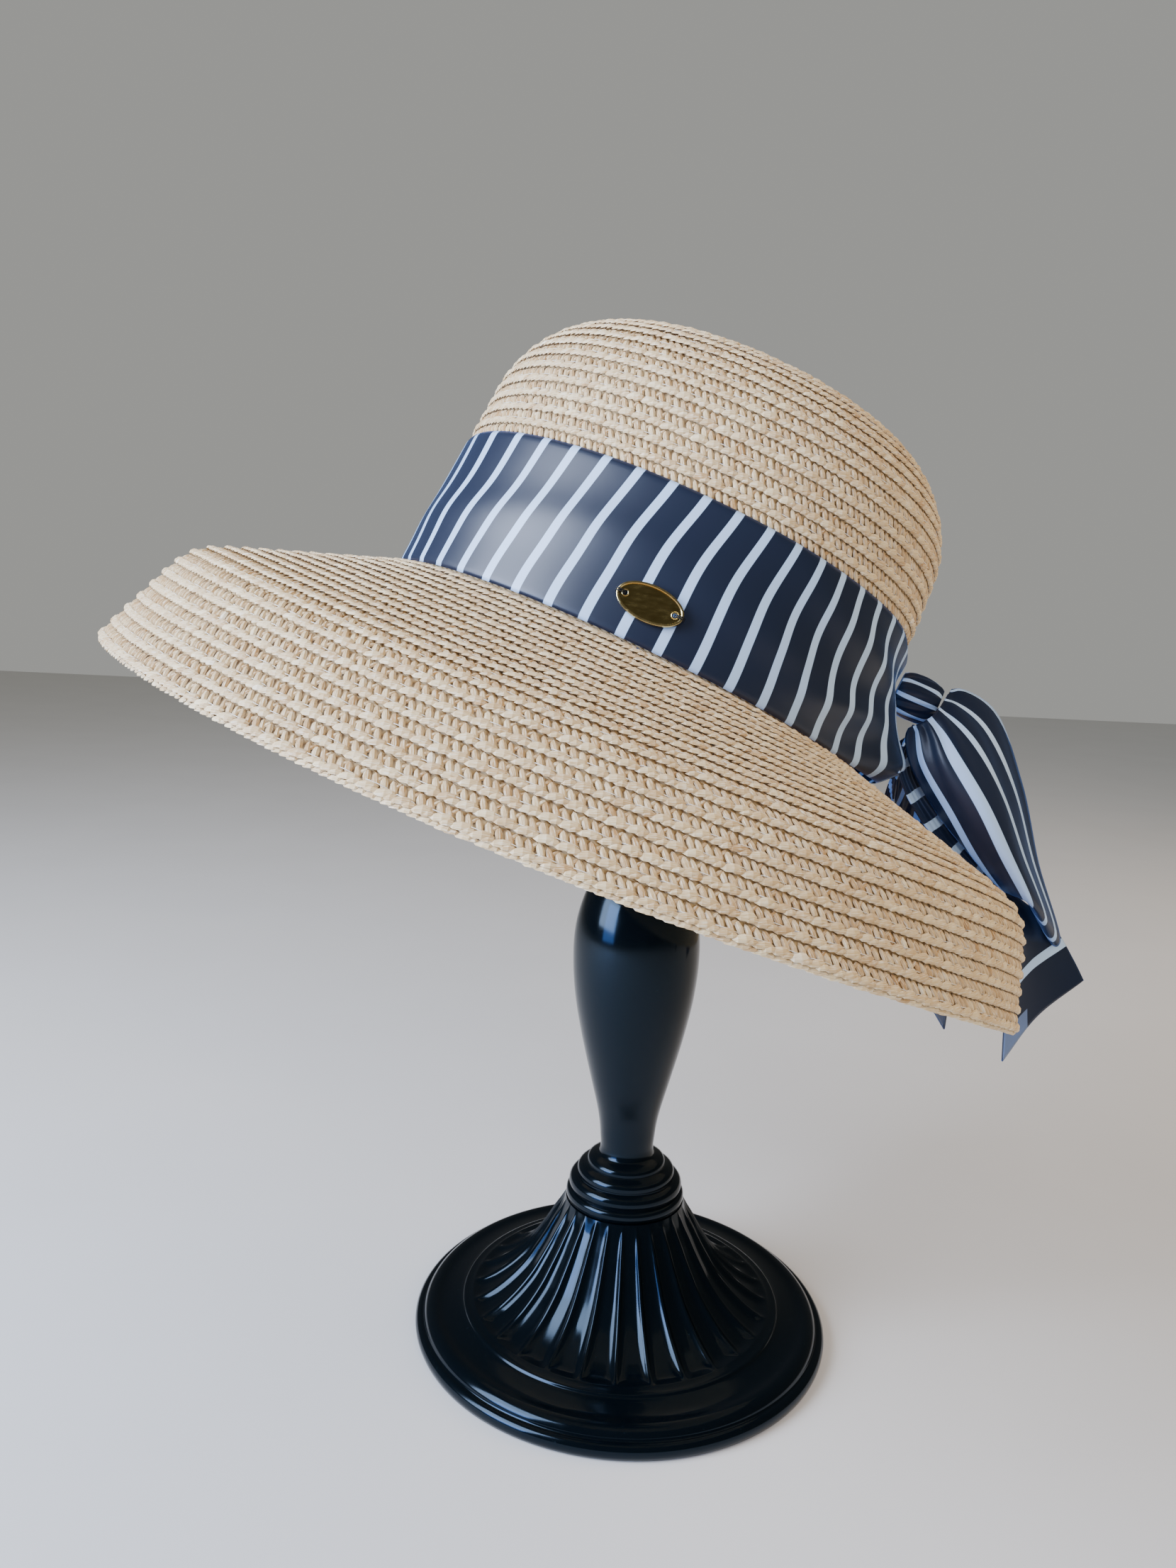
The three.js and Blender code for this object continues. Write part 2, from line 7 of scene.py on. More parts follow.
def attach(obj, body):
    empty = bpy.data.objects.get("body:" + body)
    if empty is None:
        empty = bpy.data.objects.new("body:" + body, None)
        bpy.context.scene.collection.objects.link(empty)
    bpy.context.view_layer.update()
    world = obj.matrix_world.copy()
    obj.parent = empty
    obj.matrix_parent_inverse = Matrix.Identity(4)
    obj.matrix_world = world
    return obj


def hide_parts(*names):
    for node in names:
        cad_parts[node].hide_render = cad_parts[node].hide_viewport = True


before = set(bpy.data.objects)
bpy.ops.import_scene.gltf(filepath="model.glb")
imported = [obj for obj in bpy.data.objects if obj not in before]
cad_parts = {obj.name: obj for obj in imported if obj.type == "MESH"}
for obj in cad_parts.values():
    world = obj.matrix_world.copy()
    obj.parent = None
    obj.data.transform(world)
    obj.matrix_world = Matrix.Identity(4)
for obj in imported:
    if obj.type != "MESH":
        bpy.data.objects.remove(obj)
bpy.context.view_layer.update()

bpy.ops.object.select_all(action="DESELECT")

# Lengths are millimetres in this script, as in the part's source, and meshes are made in metres
MM = 0.001
rad = math.radians
TURN = 2 * math.pi
rng = np.random.default_rng(7)


def lerp(a, b, share):
    return a + (b - a) * share

def way_along(points):
    """How far along a line of points each of them is."""
    return np.concatenate([[0], np.cumsum(np.linalg.norm(np.diff(points, axis=0), axis=1))])


# Camera
# The view was solved from the stand's round foot and the hat together
FOCAL_PX = 1670
IMAGE_HEIGHT = 2212
SENSOR = 36
CAMERA_AT = (0, -0.4913, 0.3274)
PITCH, YAW, ROLL = rad(9.53), rad(-2.77), rad(2.35)


def add_camera():
    ahead = Vector((math.sin(YAW) * math.cos(PITCH), math.cos(YAW) * math.cos(PITCH), -math.sin(PITCH)))
    right = Vector((math.cos(YAW), -math.sin(YAW), 0))
    up = right.cross(ahead)
    across = math.cos(ROLL) * right + math.sin(ROLL) * up
    above = -math.sin(ROLL) * right + math.cos(ROLL) * up
    camera = bpy.data.objects.new("camera", bpy.data.cameras.new("camera"))
    camera.data.sensor_width = SENSOR
    camera.data.lens = FOCAL_PX * SENSOR / IMAGE_HEIGHT
    camera.data.clip_start = 0.01
    turn = Matrix((across, above, -ahead)).transposed().to_4x4()
    camera.matrix_world = Matrix.Translation(CAMERA_AT) @ turn
    bpy.context.scene.collection.objects.link(camera)
    bpy.context.scene.camera = camera


add_camera()

# Meshes


def mesh_piece(name, points, quads=(), tris=(), uv=None, values=None, smooth=True):
    """A mesh object from points in millimetres. uv is one pair for each face corner, quads first."""
    quads = np.asarray(quads, np.int32).reshape(-1, 4)
    tris = np.asarray(tris, np.int32).reshape(-1, 3)
    points = np.asarray(points, float).reshape(-1, 3)
    corners = np.concatenate([quads.ravel(), tris.ravel()])
    sizes = np.concatenate([np.full(len(quads), 4), np.full(len(tris), 3)])
    mesh = bpy.data.meshes.new(name)
    mesh.vertices.add(len(points))
    mesh.vertices.foreach_set("co", (points * MM).astype(np.float32).ravel())
    mesh.loops.add(len(corners))
    mesh.loops.foreach_set("vertex_index", corners.astype(np.int32))
    mesh.polygons.add(len(sizes))
    mesh.polygons.foreach_set("loop_start", np.concatenate([[0], np.cumsum(sizes)[:-1]]).astype(np.int32))
    mesh.polygons.foreach_set("use_smooth", np.full(len(sizes), smooth))
    if uv is not None:
        layer = mesh.uv_layers.new(name="flat")
        layer.data.foreach_set("uv", np.asarray(uv, np.float32).ravel())
    for label, data in (values or {}).items():
        mesh.attributes.new(label, "FLOAT", "POINT").data.foreach_set("value", data.astype(np.float32))
    mesh.update(calc_edges=True)
    mesh.validate()
    piece = bpy.data.objects.new(name, mesh)
    bpy.context.scene.collection.objects.link(piece)
    return piece


def signed_volume(points, quads):
    a, b, c, d = (points[quads[:, i]] for i in range(4))
    return np.sum(a * np.cross(b, c)) + np.sum(a * np.cross(c, d))


def wall_piece(name, outer, inner, uv_grid, closed):
    """A closed wall between two grids of points. Rows run along it, columns across or around it."""
    rows, columns = outer.shape[:2]
    steps = columns if closed else columns - 1
    i, j = np.meshgrid(np.arange(rows - 1), np.arange(steps), indexing="ij")
    i, j = i.ravel(), j.ravel()
    k = (j + 1) % columns
    far = rows * columns
    front = np.stack([i * columns + j, i * columns + k, (i + 1) * columns + k, (i + 1) * columns + j], 1)
    back = front[:, ::-1] + far
    place = np.stack([i, j], 1)
    sides = [front, back]
    spots = [
        np.stack([place, place + [0, 1], place + [1, 1], place + [1, 0]], 1),
        np.stack([place + [1, 0], place + [1, 1], place + [0, 1], place], 1),
    ]
    for row in (0, rows - 1):
        j = np.arange(steps)
        k = (j + 1) % columns
        base = row * columns
        rim = np.stack([base + j, base + k, base + k + far, base + j + far], 1)
        spot = np.stack([np.full(steps, row), j], 1)
        spot = np.stack([spot, spot + [0, 1], spot + [0, 1], spot], 1)
        if row == 0:
            rim, spot = rim[:, ::-1], spot[:, ::-1]
        sides.append(rim)
        spots.append(spot)
    if not closed:
        for column in (0, columns - 1):
            i = np.arange(rows - 1)
            low, high = i * columns + column, (i + 1) * columns + column
            rim = np.stack([low, high, high + far, low + far], 1)
            spot = np.stack([i, np.full(rows - 1, column)], 1)
            spot = np.stack([spot, spot + [1, 0], spot + [1, 0], spot], 1)
            if column:
                rim, spot = rim[:, ::-1], spot[:, ::-1]
            sides.append(rim)
            spots.append(spot)
    quads, spots = np.concatenate(sides), np.concatenate(spots)
    points = np.concatenate([outer.reshape(-1, 3), inner.reshape(-1, 3)])
    if signed_volume(points - points.mean(0), quads) < 0:
        quads, spots = quads[:, ::-1], spots[:, ::-1]
    uv = uv_grid[spots[..., 0], spots[..., 1]]
    return mesh_piece(name, points, quads, uv=uv)


def finish_piece(piece, material, nodes=()):
    if material:
        piece.data.materials.append(material)
    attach(piece, "root")
    if nodes:
        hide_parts(*nodes)
    return piece


# Materials


def linear(code):
    """sRGB hex to linear colour."""
    parts = [int(code[i:i + 2], 16) / 255 for i in (1, 3, 5)]
    return [c / 12.92 if c <= 0.04045 else ((c + 0.055) / 1.055) ** 2.4 for c in parts] + [1]


def new_material(name):
    material = bpy.data.materials.new(name)
    material.use_nodes = True
    return material, material.node_tree.nodes["Principled BSDF"]


def fill(material, made, inputs):
    """Gives a node's sockets a value each, or links them from another node's output."""
    for socket, value in inputs.items():
        if isinstance(value, bpy.types.NodeSocket):
            material.node_tree.links.new(value, made.inputs[socket])
        else:
            made.inputs[socket].default_value = value


def node(material, kind, inputs=None, out=0, **settings):
    """Adds a node with its own settings and its sockets' values and links, and gives one of its outputs."""
    made = material.node_tree.nodes.new("ShaderNode" + kind)
    for key, value in settings.items():
        setattr(made, key, value)
    fill(material, made, inputs or {})
    return made.outputs[out]


# The colour mix's sockets for its share and its two colours, and its output
SHARE, LOW, HIGH, MIXED = 0, 6, 7, 2


def paper_straw():
    """Twisted paper straw, plaited and sewn: matte, with fibres along each leaf and a soft sheen."""
    m, shader = new_material("paper_straw_leaf")
    flat = node(m, "UVMap", uv_map="flat")
    tone = node(m, "Attribute", out="Fac", attribute_name="tone")
    # Fibres are about 0.25 mm wide and run along the leaf
    stretched = node(m, "Mapping", {"Vector": flat, "Scale": (0.3, 3.8, 1)})
    fibre = node(m, "TexNoise", {"Vector": stretched, "Scale": 1.0, "Detail": 3.0})
    place = node(m, "TexCoord", out="Object")
    # Patches of sun-faded and darker straw, about 25 mm across
    patch = node(m, "TexNoise", {"Vector": place, "Scale": 42.0, "Detail": 2.0})
    colour = node(
        m, "Mix", {SHARE: tone, LOW: linear("#a77b45"), HIGH: linear("#eed8aa")}, MIXED, data_type="RGBA"
    )
    deep = node(m, "Math", {0: patch, 1: 0.35}, operation="MULTIPLY")
    colour = node(m, "Mix", {SHARE: deep, LOW: colour, HIGH: linear("#cba871")}, MIXED, data_type="RGBA")
    pale_line = node(m, "MapRange", {"Value": fibre, 1: 0.52, 2: 0.64, 3: 0.0, 4: 0.6})
    colour = node(m, "Mix", {SHARE: pale_line, LOW: colour, HIGH: linear("#f3e8cf")}, MIXED, data_type="RGBA")
    dark_line = node(m, "MapRange", {"Value": fibre, 1: 0.42, 2: 0.34, 3: 0.0, 4: 0.5})
    colour = node(m, "Mix", {SHARE: dark_line, LOW: colour, HIGH: linear("#a47f4c")}, MIXED, data_type="RGBA")
    pale = node(m, "Math", {0: tone, 1: 1.0}, operation="SUBTRACT", use_clamp=True)
    colour = node(m, "Mix", {SHARE: pale, LOW: colour, HIGH: linear("#f4ecdc")}, MIXED, data_type="RGBA")
    bump = node(m, "Bump", {"Height": fibre, "Strength": 0.5, "Distance": 0.0002})
    fill(m, shader, {
        "Base Color": colour, "Normal": bump, "Roughness": 0.55, "IOR": 1.5, "Sheen Weight": 0.12,
        "Sheen Roughness": 0.5,
    })
    return m


def plaited_lining():
    """The same braid from the inside, drawn as a relief with painted shade in its grooves: u counts stitches,
    v counts rows.
    """
    m, shader = new_material("paper_straw_lining")
    flat = node(m, "UVMap", uv_map="flat")
    u = node(m, "SeparateXYZ", {0: flat})
    v = node(m, "SeparateXYZ", {0: flat}, 1)
    row = node(m, "Math", {0: v}, operation="FRACT")
    twice = node(m, "Math", {0: u, 1: 2.0}, operation="MULTIPLY")
    # Leaves of one half of the row lean one way and those of the other half lean back
    leaning = node(m, "Math", {0: twice, 1: v}, operation="ADD")
    back = node(m, "Math", {0: v, 1: -1.6, 2: twice}, operation="MULTIPLY_ADD")
    half = node(m, "Math", {0: row, 1: 0.52}, operation="GREATER_THAN")
    leaf = node(m, "Mix", {0: half, 2: leaning, 3: back}, data_type="FLOAT")
    leaf = node(m, "Math", {0: leaf}, operation="FRACT")
    turned_leaf = node(m, "Math", {0: leaf, 1: math.pi}, operation="MULTIPLY")
    ridge = node(m, "Math", {0: turned_leaf}, operation="SINE")
    turned_row = node(m, "Math", {0: row, 1: math.pi}, operation="MULTIPLY")
    rope = node(m, "Math", {0: turned_row}, operation="SINE")
    height = node(m, "Math", {0: rope, 1: 0.6, 2: ridge}, operation="MULTIPLY_ADD")
    place = node(m, "TexCoord", out="Object")
    patch = node(m, "TexNoise", {"Vector": place, "Scale": 60.0, "Detail": 3.0})
    # Painted shade: the colour darkens from the middle of each leaf to the grooves between the leaves
    colour = node(
        m, "Mix", {SHARE: ridge, LOW: linear("#7d5a33"), HIGH: linear("#dcbf8c")}, MIXED, data_type="RGBA"
    )
    some = node(m, "Math", {0: patch, 1: 0.5}, operation="MULTIPLY")
    colour = node(m, "Mix", {SHARE: some, LOW: colour, HIGH: linear("#cfae7a")}, MIXED, data_type="RGBA")
    bump = node(m, "Bump", {"Height": height, "Strength": 0.9, "Distance": 0.0006})
    fill(m, shader, {"Base Color": colour, "Normal": bump, "Roughness": 0.7})
    return m


def sewing_thread(name, code, shade):
    """Fine spun thread: a faint twist across it."""
    m, shader = new_material(name)
    place = node(m, "TexCoord", out="Object")
    twist = node(m, "TexWave", {"Vector": place, "Scale": 900.0, "Distortion": 1.0}, "Fac")
    colour = node(m, "Mix", {SHARE: twist, LOW: linear(shade), HIGH: linear(code)}, MIXED, data_type="RGBA")
    fill(m, shader, {"Base Color": colour, "Roughness": 0.5})
    return m


STRIPE_PITCH = 12.7
STRIPE_WIDTH = 3.3


def striped_satin(name, axis, shift, width=STRIPE_WIDTH):
    """Printed satin: a smooth, glossy face with a very fine rib. u and v are millimetres on the cloth."""
    m, shader = new_material(name)
    flat = node(m, "UVMap", uv_map="flat")
    run = node(m, "SeparateXYZ", {0: flat}, axis)
    moved = node(m, "Math", {0: run, 1: shift}, operation="ADD")
    turns = node(m, "Math", {0: moved, 1: STRIPE_PITCH}, operation="DIVIDE")
    part = node(m, "Math", {0: turns}, operation="FRACT")
    off = node(m, "Math", {0: part, 1: 0.5}, operation="SUBTRACT")
    off = node(m, "Math", {0: off}, operation="ABSOLUTE")
    half = width / STRIPE_PITCH / 2
    inside = node(m, "MapRange", {"Value": off, 1: half + 0.006, 2: half - 0.006, 3: 0.0, 4: 1.0})
    # Threads are far finer than a pixel, so the rib is drawn at 0.45 mm
    fine = node(m, "Mapping", {"Vector": flat, "Scale": (2.2, 2.2, 1)})
    thread = node(m, "TexNoise", {"Vector": fine, "Scale": 6.0, "Detail": 2.0})
    dark = node(
        m, "Mix", {SHARE: thread, LOW: linear("#0e1524"), HIGH: linear("#1a2439")}, MIXED, data_type="RGBA"
    )
    light = node(
        m, "Mix", {SHARE: thread, LOW: linear("#9dbde2"), HIGH: linear("#c2d9f2")}, MIXED, data_type="RGBA"
    )
    colour = node(m, "Mix", {SHARE: inside, LOW: dark, HIGH: light}, MIXED, data_type="RGBA")
    bump = node(m, "Bump", {"Height": thread, "Strength": 0.1, "Distance": 0.0002})
    fill(m, shader, {
        "Base Color": colour, "Normal": bump, "Roughness": 0.38, "Specular IOR Level": 0.6,
        "Sheen Weight": 0.4, "Sheen Roughness": 0.3, "Sheen Tint": linear("#7aa8ff"),
    })
    return m


def satin_wrong_side():
    """The unprinted back of the satin: paler, matte, with a fine twill."""
    m, shader = new_material("satin_wrong_side")
    flat = node(m, "UVMap", uv_map="flat")
    fine = node(m, "Mapping", {"Vector": flat, "Scale": (2.2, 2.2, 1)})
    thread = node(m, "TexNoise", {"Vector": fine, "Scale": 6.0, "Detail": 3.0})
    colour = node(
        m, "Mix", {SHARE: thread, LOW: linear("#4f607f"), HIGH: linear("#6b7da0")}, MIXED, data_type="RGBA"
    )
    fill(m, shader, {"Base Color": colour, "Roughness": 0.65, "Sheen Weight": 0.2})
    return m


def polished_brass(name, code, tarnished):
    """Stamped brass, polished: mirror-like with hairline scratches and a little tarnish."""
    m, shader = new_material(name)
    place = node(m, "TexCoord", out="Object")
    scratch = node(m, "Mapping", {"Vector": place, "Scale": (300, 4000, 300)})
    hair = node(m, "TexNoise", {"Vector": scratch, "Scale": 1.0, "Detail": 2.0})
    tarnish = node(m, "TexNoise", {"Vector": place, "Scale": 260.0, "Detail": 3.0})
    colour = node(
        m, "Mix", {SHARE: tarnish, LOW: linear(code), HIGH: linear(tarnished)}, MIXED, data_type="RGBA"
    )
    rough = node(m, "MapRange", {"Value": hair, 1: 0.3, 2: 0.7, 3: 0.14, 4: 0.3})
    fill(m, shader, {"Base Color": colour, "Roughness": rough, "Metallic": 1})
    return m


def stand_lacquer():
    """Turned stand under thick gloss lacquer, near black: clear reflections with a faint orange peel."""
    m, shader = new_material("gloss_black_lacquer")
    place = node(m, "TexCoord", out="Object")
    peel = node(m, "TexNoise", {"Vector": place, "Scale": 120.0, "Detail": 1.0})
    dust = node(m, "TexNoise", {"Vector": place, "Scale": 900.0, "Detail": 4.0})
    speck = node(m, "MapRange", {"Value": dust, 1: 0.68, 2: 0.76, 3: 0.0, 4: 0.2})
    colour = node(
        m, "Mix", {SHARE: speck, LOW: linear("#03070b"), HIGH: linear("#24343c")}, MIXED, data_type="RGBA"
    )
    bump = node(m, "Bump", {"Height": peel, "Strength": 0.04, "Distance": 0.0005})
    rough = node(m, "MapRange", {"Value": peel, 1: 0.3, 2: 0.7, 3: 0.1, 4: 0.17})
    fill(m, shader, {
        "Base Color": colour, "Normal": bump, "Roughness": rough, "Specular IOR Level": 0.32,
        "Specular Tint": linear("#b9d6f2"),
    })
    return m


straw_leaf = paper_straw()
straw_inside = plaited_lining()
white_thread = sewing_thread("white_sewing_thread", "#f6f0e2", "#d9d0bd")
black_thread = sewing_thread("black_sewing_thread", "#15171b", "#0c0e11")
satin_back = satin_wrong_side()
brass = polished_brass("polished_brass", "#e8d298", "#c2a868")
brass_face = polished_brass("darkened_brass_face", "#a8935c", "#86723f")
lacquer = stand_lacquer()

# Hat: pose and surfaces

HAT_TURN, HAT_LEAN_RIGHT, HAT_LEAN_BACK = rad(-5.9), rad(22.78), rad(-12.37)
HAT_AT = np.array([-10.3, -25.9, 293])
HAT_AXES = np.array(
    Matrix.Rotation(HAT_LEAN_BACK, 3, "X")
    @ Matrix.Rotation(HAT_LEAN_RIGHT, 3, "Y")
    @ Matrix.Rotation(HAT_TURN, 3, "Z")
)
SEAT_GAP = 0.3
STRAW_WALL = 2
CROWN_LENGTH, CROWN_WIDTH = 96.8, 83.4
CROWN_TOP_LENGTH, CROWN_TOP_WIDTH = 92.3, 80.1
CROWN_SIDE = 75.4
SHOULDER = 43.8
CROWN_ROWS = 31
BRIM_WIDTH = 117.6
BRIM_ROWS = 20
SLOPE_INNER, SLOPE_OUTER = 23.2, 64.4
BEND_AT, BEND_LENGTH = 76.4, 3.5
# Beside the bow the brim's outer part turns down more steeply: where, how widely and by what share
TUCK_ANGLE, TUCK_SPREAD, TUCK = rad(-4), rad(20), 0.21
# How the brim's sizes vary once and twice round it, as shares
BRIM_WAVES = {
    "width": (-0.008, -0.02),
    "inner": (-0.15, -0.19),
    "outer": (-0.096, 0.051),
    "bend": (0.015, -0.015),
}


def to_room(points):
    """From the hat's own frame to where it leans on the stand."""
    return np.asarray(points) @ HAT_AXES.T + HAT_AT


def turn_between(t, u):
    return np.arctan2(np.sin(t - u), np.cos(t - u))


def waved(size, name, t):
    once, twice = BRIM_WAVES[name]
    return size * (1 + once * np.cos(t) + twice * np.cos(2 * t))


CROWN_SLANT = math.hypot(CROWN_SIDE, CROWN_LENGTH - CROWN_TOP_LENGTH)
CROWN_MERIDIAN = CROWN_SLANT + SHOULDER * math.pi / 2 + CROWN_TOP_WIDTH - SHOULDER
CROWN_PITCH = CROWN_MERIDIAN / CROWN_ROWS


def crown_place(t, row, height):
    """A point on the crown. Rows are counted from the middle of its top, height is out from the wall."""
    t, row, height = np.broadcast_arrays(t, row, height)
    up = CROWN_MERIDIAN - row * CROWN_PITCH
    share = np.minimum(up / CROWN_SLANT, 1)
    facing = np.clip((up - CROWN_SLANT) / SHOULDER, 0, math.pi / 2)
    flat = np.maximum(up - CROWN_SLANT - SHOULDER * math.pi / 2, 0)
    inset = SHOULDER * (1 - np.cos(facing)) + flat
    a = np.maximum(lerp(CROWN_LENGTH, CROWN_TOP_LENGTH, share) - inset, 0.5)
    b = np.maximum(lerp(CROWN_WIDTH, CROWN_TOP_WIDTH, share) - inset, 0.5)
    out = np.stack([np.cos(t) * b, np.sin(t) * a], -1)
    out /= np.linalg.norm(out, axis=-1, keepdims=True)
    normal = np.concatenate([out * np.cos(facing)[..., None], np.sin(facing)[..., None]], -1)
    spot = np.stack([a * np.cos(t), b * np.sin(t), CROWN_SIDE * share + SHOULDER * np.sin(facing)], -1)
    return spot + normal * height[..., None]


def brim_tables():
    """Points and normals of the brim's upper face on an even grid of angle and share of the width."""
    angles, shares = 361, 161
    t = np.linspace(0, TURN, angles)[:, None]
    share = np.linspace(0, 1, shares)[None, :]
    width = waved(BRIM_WIDTH, "width", t)
    tuck = SLOPE_OUTER * TUCK * np.exp(-((turn_between(t, TUCK_ANGLE) / TUCK_SPREAD) ** 2))
    inner = np.radians(waved(SLOPE_INNER, "inner", t))
    outer = np.radians(waved(SLOPE_OUTER, "outer", t) + tuck)
    bent = 1 / (1 + np.exp((waved(BEND_AT, "bend", t) - width * share) / BEND_LENGTH))
    slope = lerp(inner, outer, bent)
    step = width / (shares - 1)
    middle = (slope[:, 1:] + slope[:, :-1]) / 2
    start = np.zeros((angles, 1))
    reach = np.concatenate([start, np.cumsum(step * np.cos(middle), 1)], 1)
    drop = np.concatenate([start, np.cumsum(step * np.sin(middle), 1)], 1)
    spots = np.stack(
        [(CROWN_LENGTH + reach) * np.cos(t), (CROWN_WIDTH + reach) * np.sin(t), -SEAT_GAP - drop + 0 * t], -1
    )
    out = np.gradient(spots, axis=1)
    side = np.gradient(np.concatenate([spots[-2:-1], spots, spots[1:2]]), axis=0)[1:-1]
    normals = np.cross(out, side)
    return spots, normals / np.linalg.norm(normals, axis=-1, keepdims=True)


BRIM_SPOTS, BRIM_NORMALS = brim_tables()


def from_table(table, t, share):
    x = (np.asarray(t) % TURN) / TURN * (table.shape[0] - 1)
    y = np.clip(share, 0, 1) * (table.shape[1] - 1)
    i = np.minimum(x.astype(int), table.shape[0] - 2)
    j = np.minimum(y.astype(int), table.shape[1] - 2)
    fx, fy = (x - i)[..., None], (y - j)[..., None]
    near = lerp(table[i, j], table[i, j + 1], fy)
    return lerp(near, lerp(table[i + 1, j], table[i + 1, j + 1], fy), fx)


def brim_place(t, row, height):
    """A point on the brim. Rows are counted out from the crown, height is up from its upper face."""
    t, row, height = np.broadcast_arrays(t, row, height)
    share = row / BRIM_ROWS
    normal = from_table(BRIM_NORMALS, t, share)
    spot = from_table(BRIM_SPOTS, t, share)
    beyond = np.maximum(share - 1, 0)[..., None] * BRIM_WIDTH
    edge, before = np.ones_like(share), np.full_like(share, 0.99)
    run = from_table(BRIM_SPOTS, t, edge) - from_table(BRIM_SPOTS, t, before)
    run /= np.linalg.norm(run, axis=-1, keepdims=True)
    return spot + normal * height[..., None] + run * beyond


# Straw braid

BRAID_CELL = 5.4
ROW_PITCH = 5.85
# The leaves of one cell of the plait: start and end as (along the row, down the row) in millimetres, width,
# height of each end, how far the middle stands above them, and tone; the lower tones of the leaves that lie
# deeper are painted shade in the recess under each row's rope
LEAVES = [
    ((0.0, 5.75), (6.2, 3.75), 2.5, 0.15, 0.2, 0.6, 0.62),
    ((3.0, 5.85), (7.2, 4.5), 1.8, 0.1, 0.2, 0.55, 0.55),
    ((0.0, 0.2), (2.7, 4.3), 2.1, -0.5, -0.15, 0.4, 0.42),
    ((2.7, 0.2), (5.4, 4.3), 2.0, -0.5, -0.15, 0.35, 0.4),
    ((-1.3, 2.7), (0.6, 0.3), 1.3, -0.55, -0.45, 0.3, 0.3),
]
STEEP_LEAVES = LEAVES[2:]
RIM_LEAVES = [
    ((0.0, 0.55), (5.2, 0.2), 2.0, -1.5, -0.1, 0.35, 0.7),
    ((2.7, 0.6), (7.2, 0.25), 1.7, -1.7, -0.2, 0.35, 0.6),
]
LEAF_STATIONS = np.array([0, 0.2, 0.52, 0.82, 1])
LEAF_WIDTHS = np.array([0, 0.8, 1, 0.85, 0])
LEAF_SECTION = np.array([(-0.5, 0), (-0.2, 1), (0.24, 0.95), (0.5, 0)])
LEAF_THICKNESS = 0.55
LEAF_POINTS = 14
LEAF_LIMIT = 7800
# How much leaves differ: their ends along and down the row and their heights in millimetres, and the rest
# as shares
START_SPREAD, END_SPREAD, DOWN_SPREAD, HEIGHT_SPREAD = 0.12, 0.15, 0.1, 0.07
WIDTH_SPREAD, ARCH_SPREAD, TONE_SPREAD, PALE_TONE = 0.07, 0.1, 0.16, 1.4
# Angles close enough to measure the way round a row
RING = np.linspace(0, TURN, 257)

def leaf_faces():
    """The faces of one leaf, which is a tip, three rings of four points, and a tip."""
    quads, tris = [], []
    for ring in range(2):
        for i in range(4):
            j = (i + 1) % 4
            a, b = 1 + 4 * ring, 5 + 4 * ring
            quads.append((a + i, a + j, b + j, b + i))
    for i in range(4):
        j = (i + 1) % 4
        tris.append((0, 1 + j, 1 + i))
        tris.append((13, 9 + i, 9 + j))
    return np.array(quads), np.array(tris)


def leaf_cells(place, row, pitch, cell, leaves, pale_share):
    """The leaves of one row as arrays: angle, row and the leaf's own numbers."""
    arc = way_along(place(RING, row + 0.5, 0))
    count = max(3, round(arc[-1] / cell))
    turn = rng.random()
    angles = np.interp((np.arange(count) + turn) % count / count * arc[-1], arc, RING)
    fit = arc[-1] / count / cell
    made = []
    for start, end, width, low, high, arch, shade in leaves:
        jitter = rng.normal(0, 1, (7, count))
        tone = np.clip(shade + TONE_SPREAD * jitter[0], 0, 0.98)
        tone = np.where(rng.random(count) < pale_share, PALE_TONE, tone)
        numbers = [
            angles,
            np.full(count, float(row)),
            start[0] * fit + START_SPREAD * jitter[1],
            start[1] / ROW_PITCH * pitch + DOWN_SPREAD * jitter[2],
            end[0] * fit + END_SPREAD * jitter[3],
            end[1] / ROW_PITCH * pitch + DOWN_SPREAD * jitter[4],
            width * (1 + WIDTH_SPREAD * jitter[5]) * np.sqrt(fit),
            low + HEIGHT_SPREAD * jitter[6],
            high + HEIGHT_SPREAD * jitter[1],
            arch * (1 + ARCH_SPREAD * jitter[2]),
            tone,
        ]
        made.append(np.stack(numbers, 1))
    return np.concatenate(made)

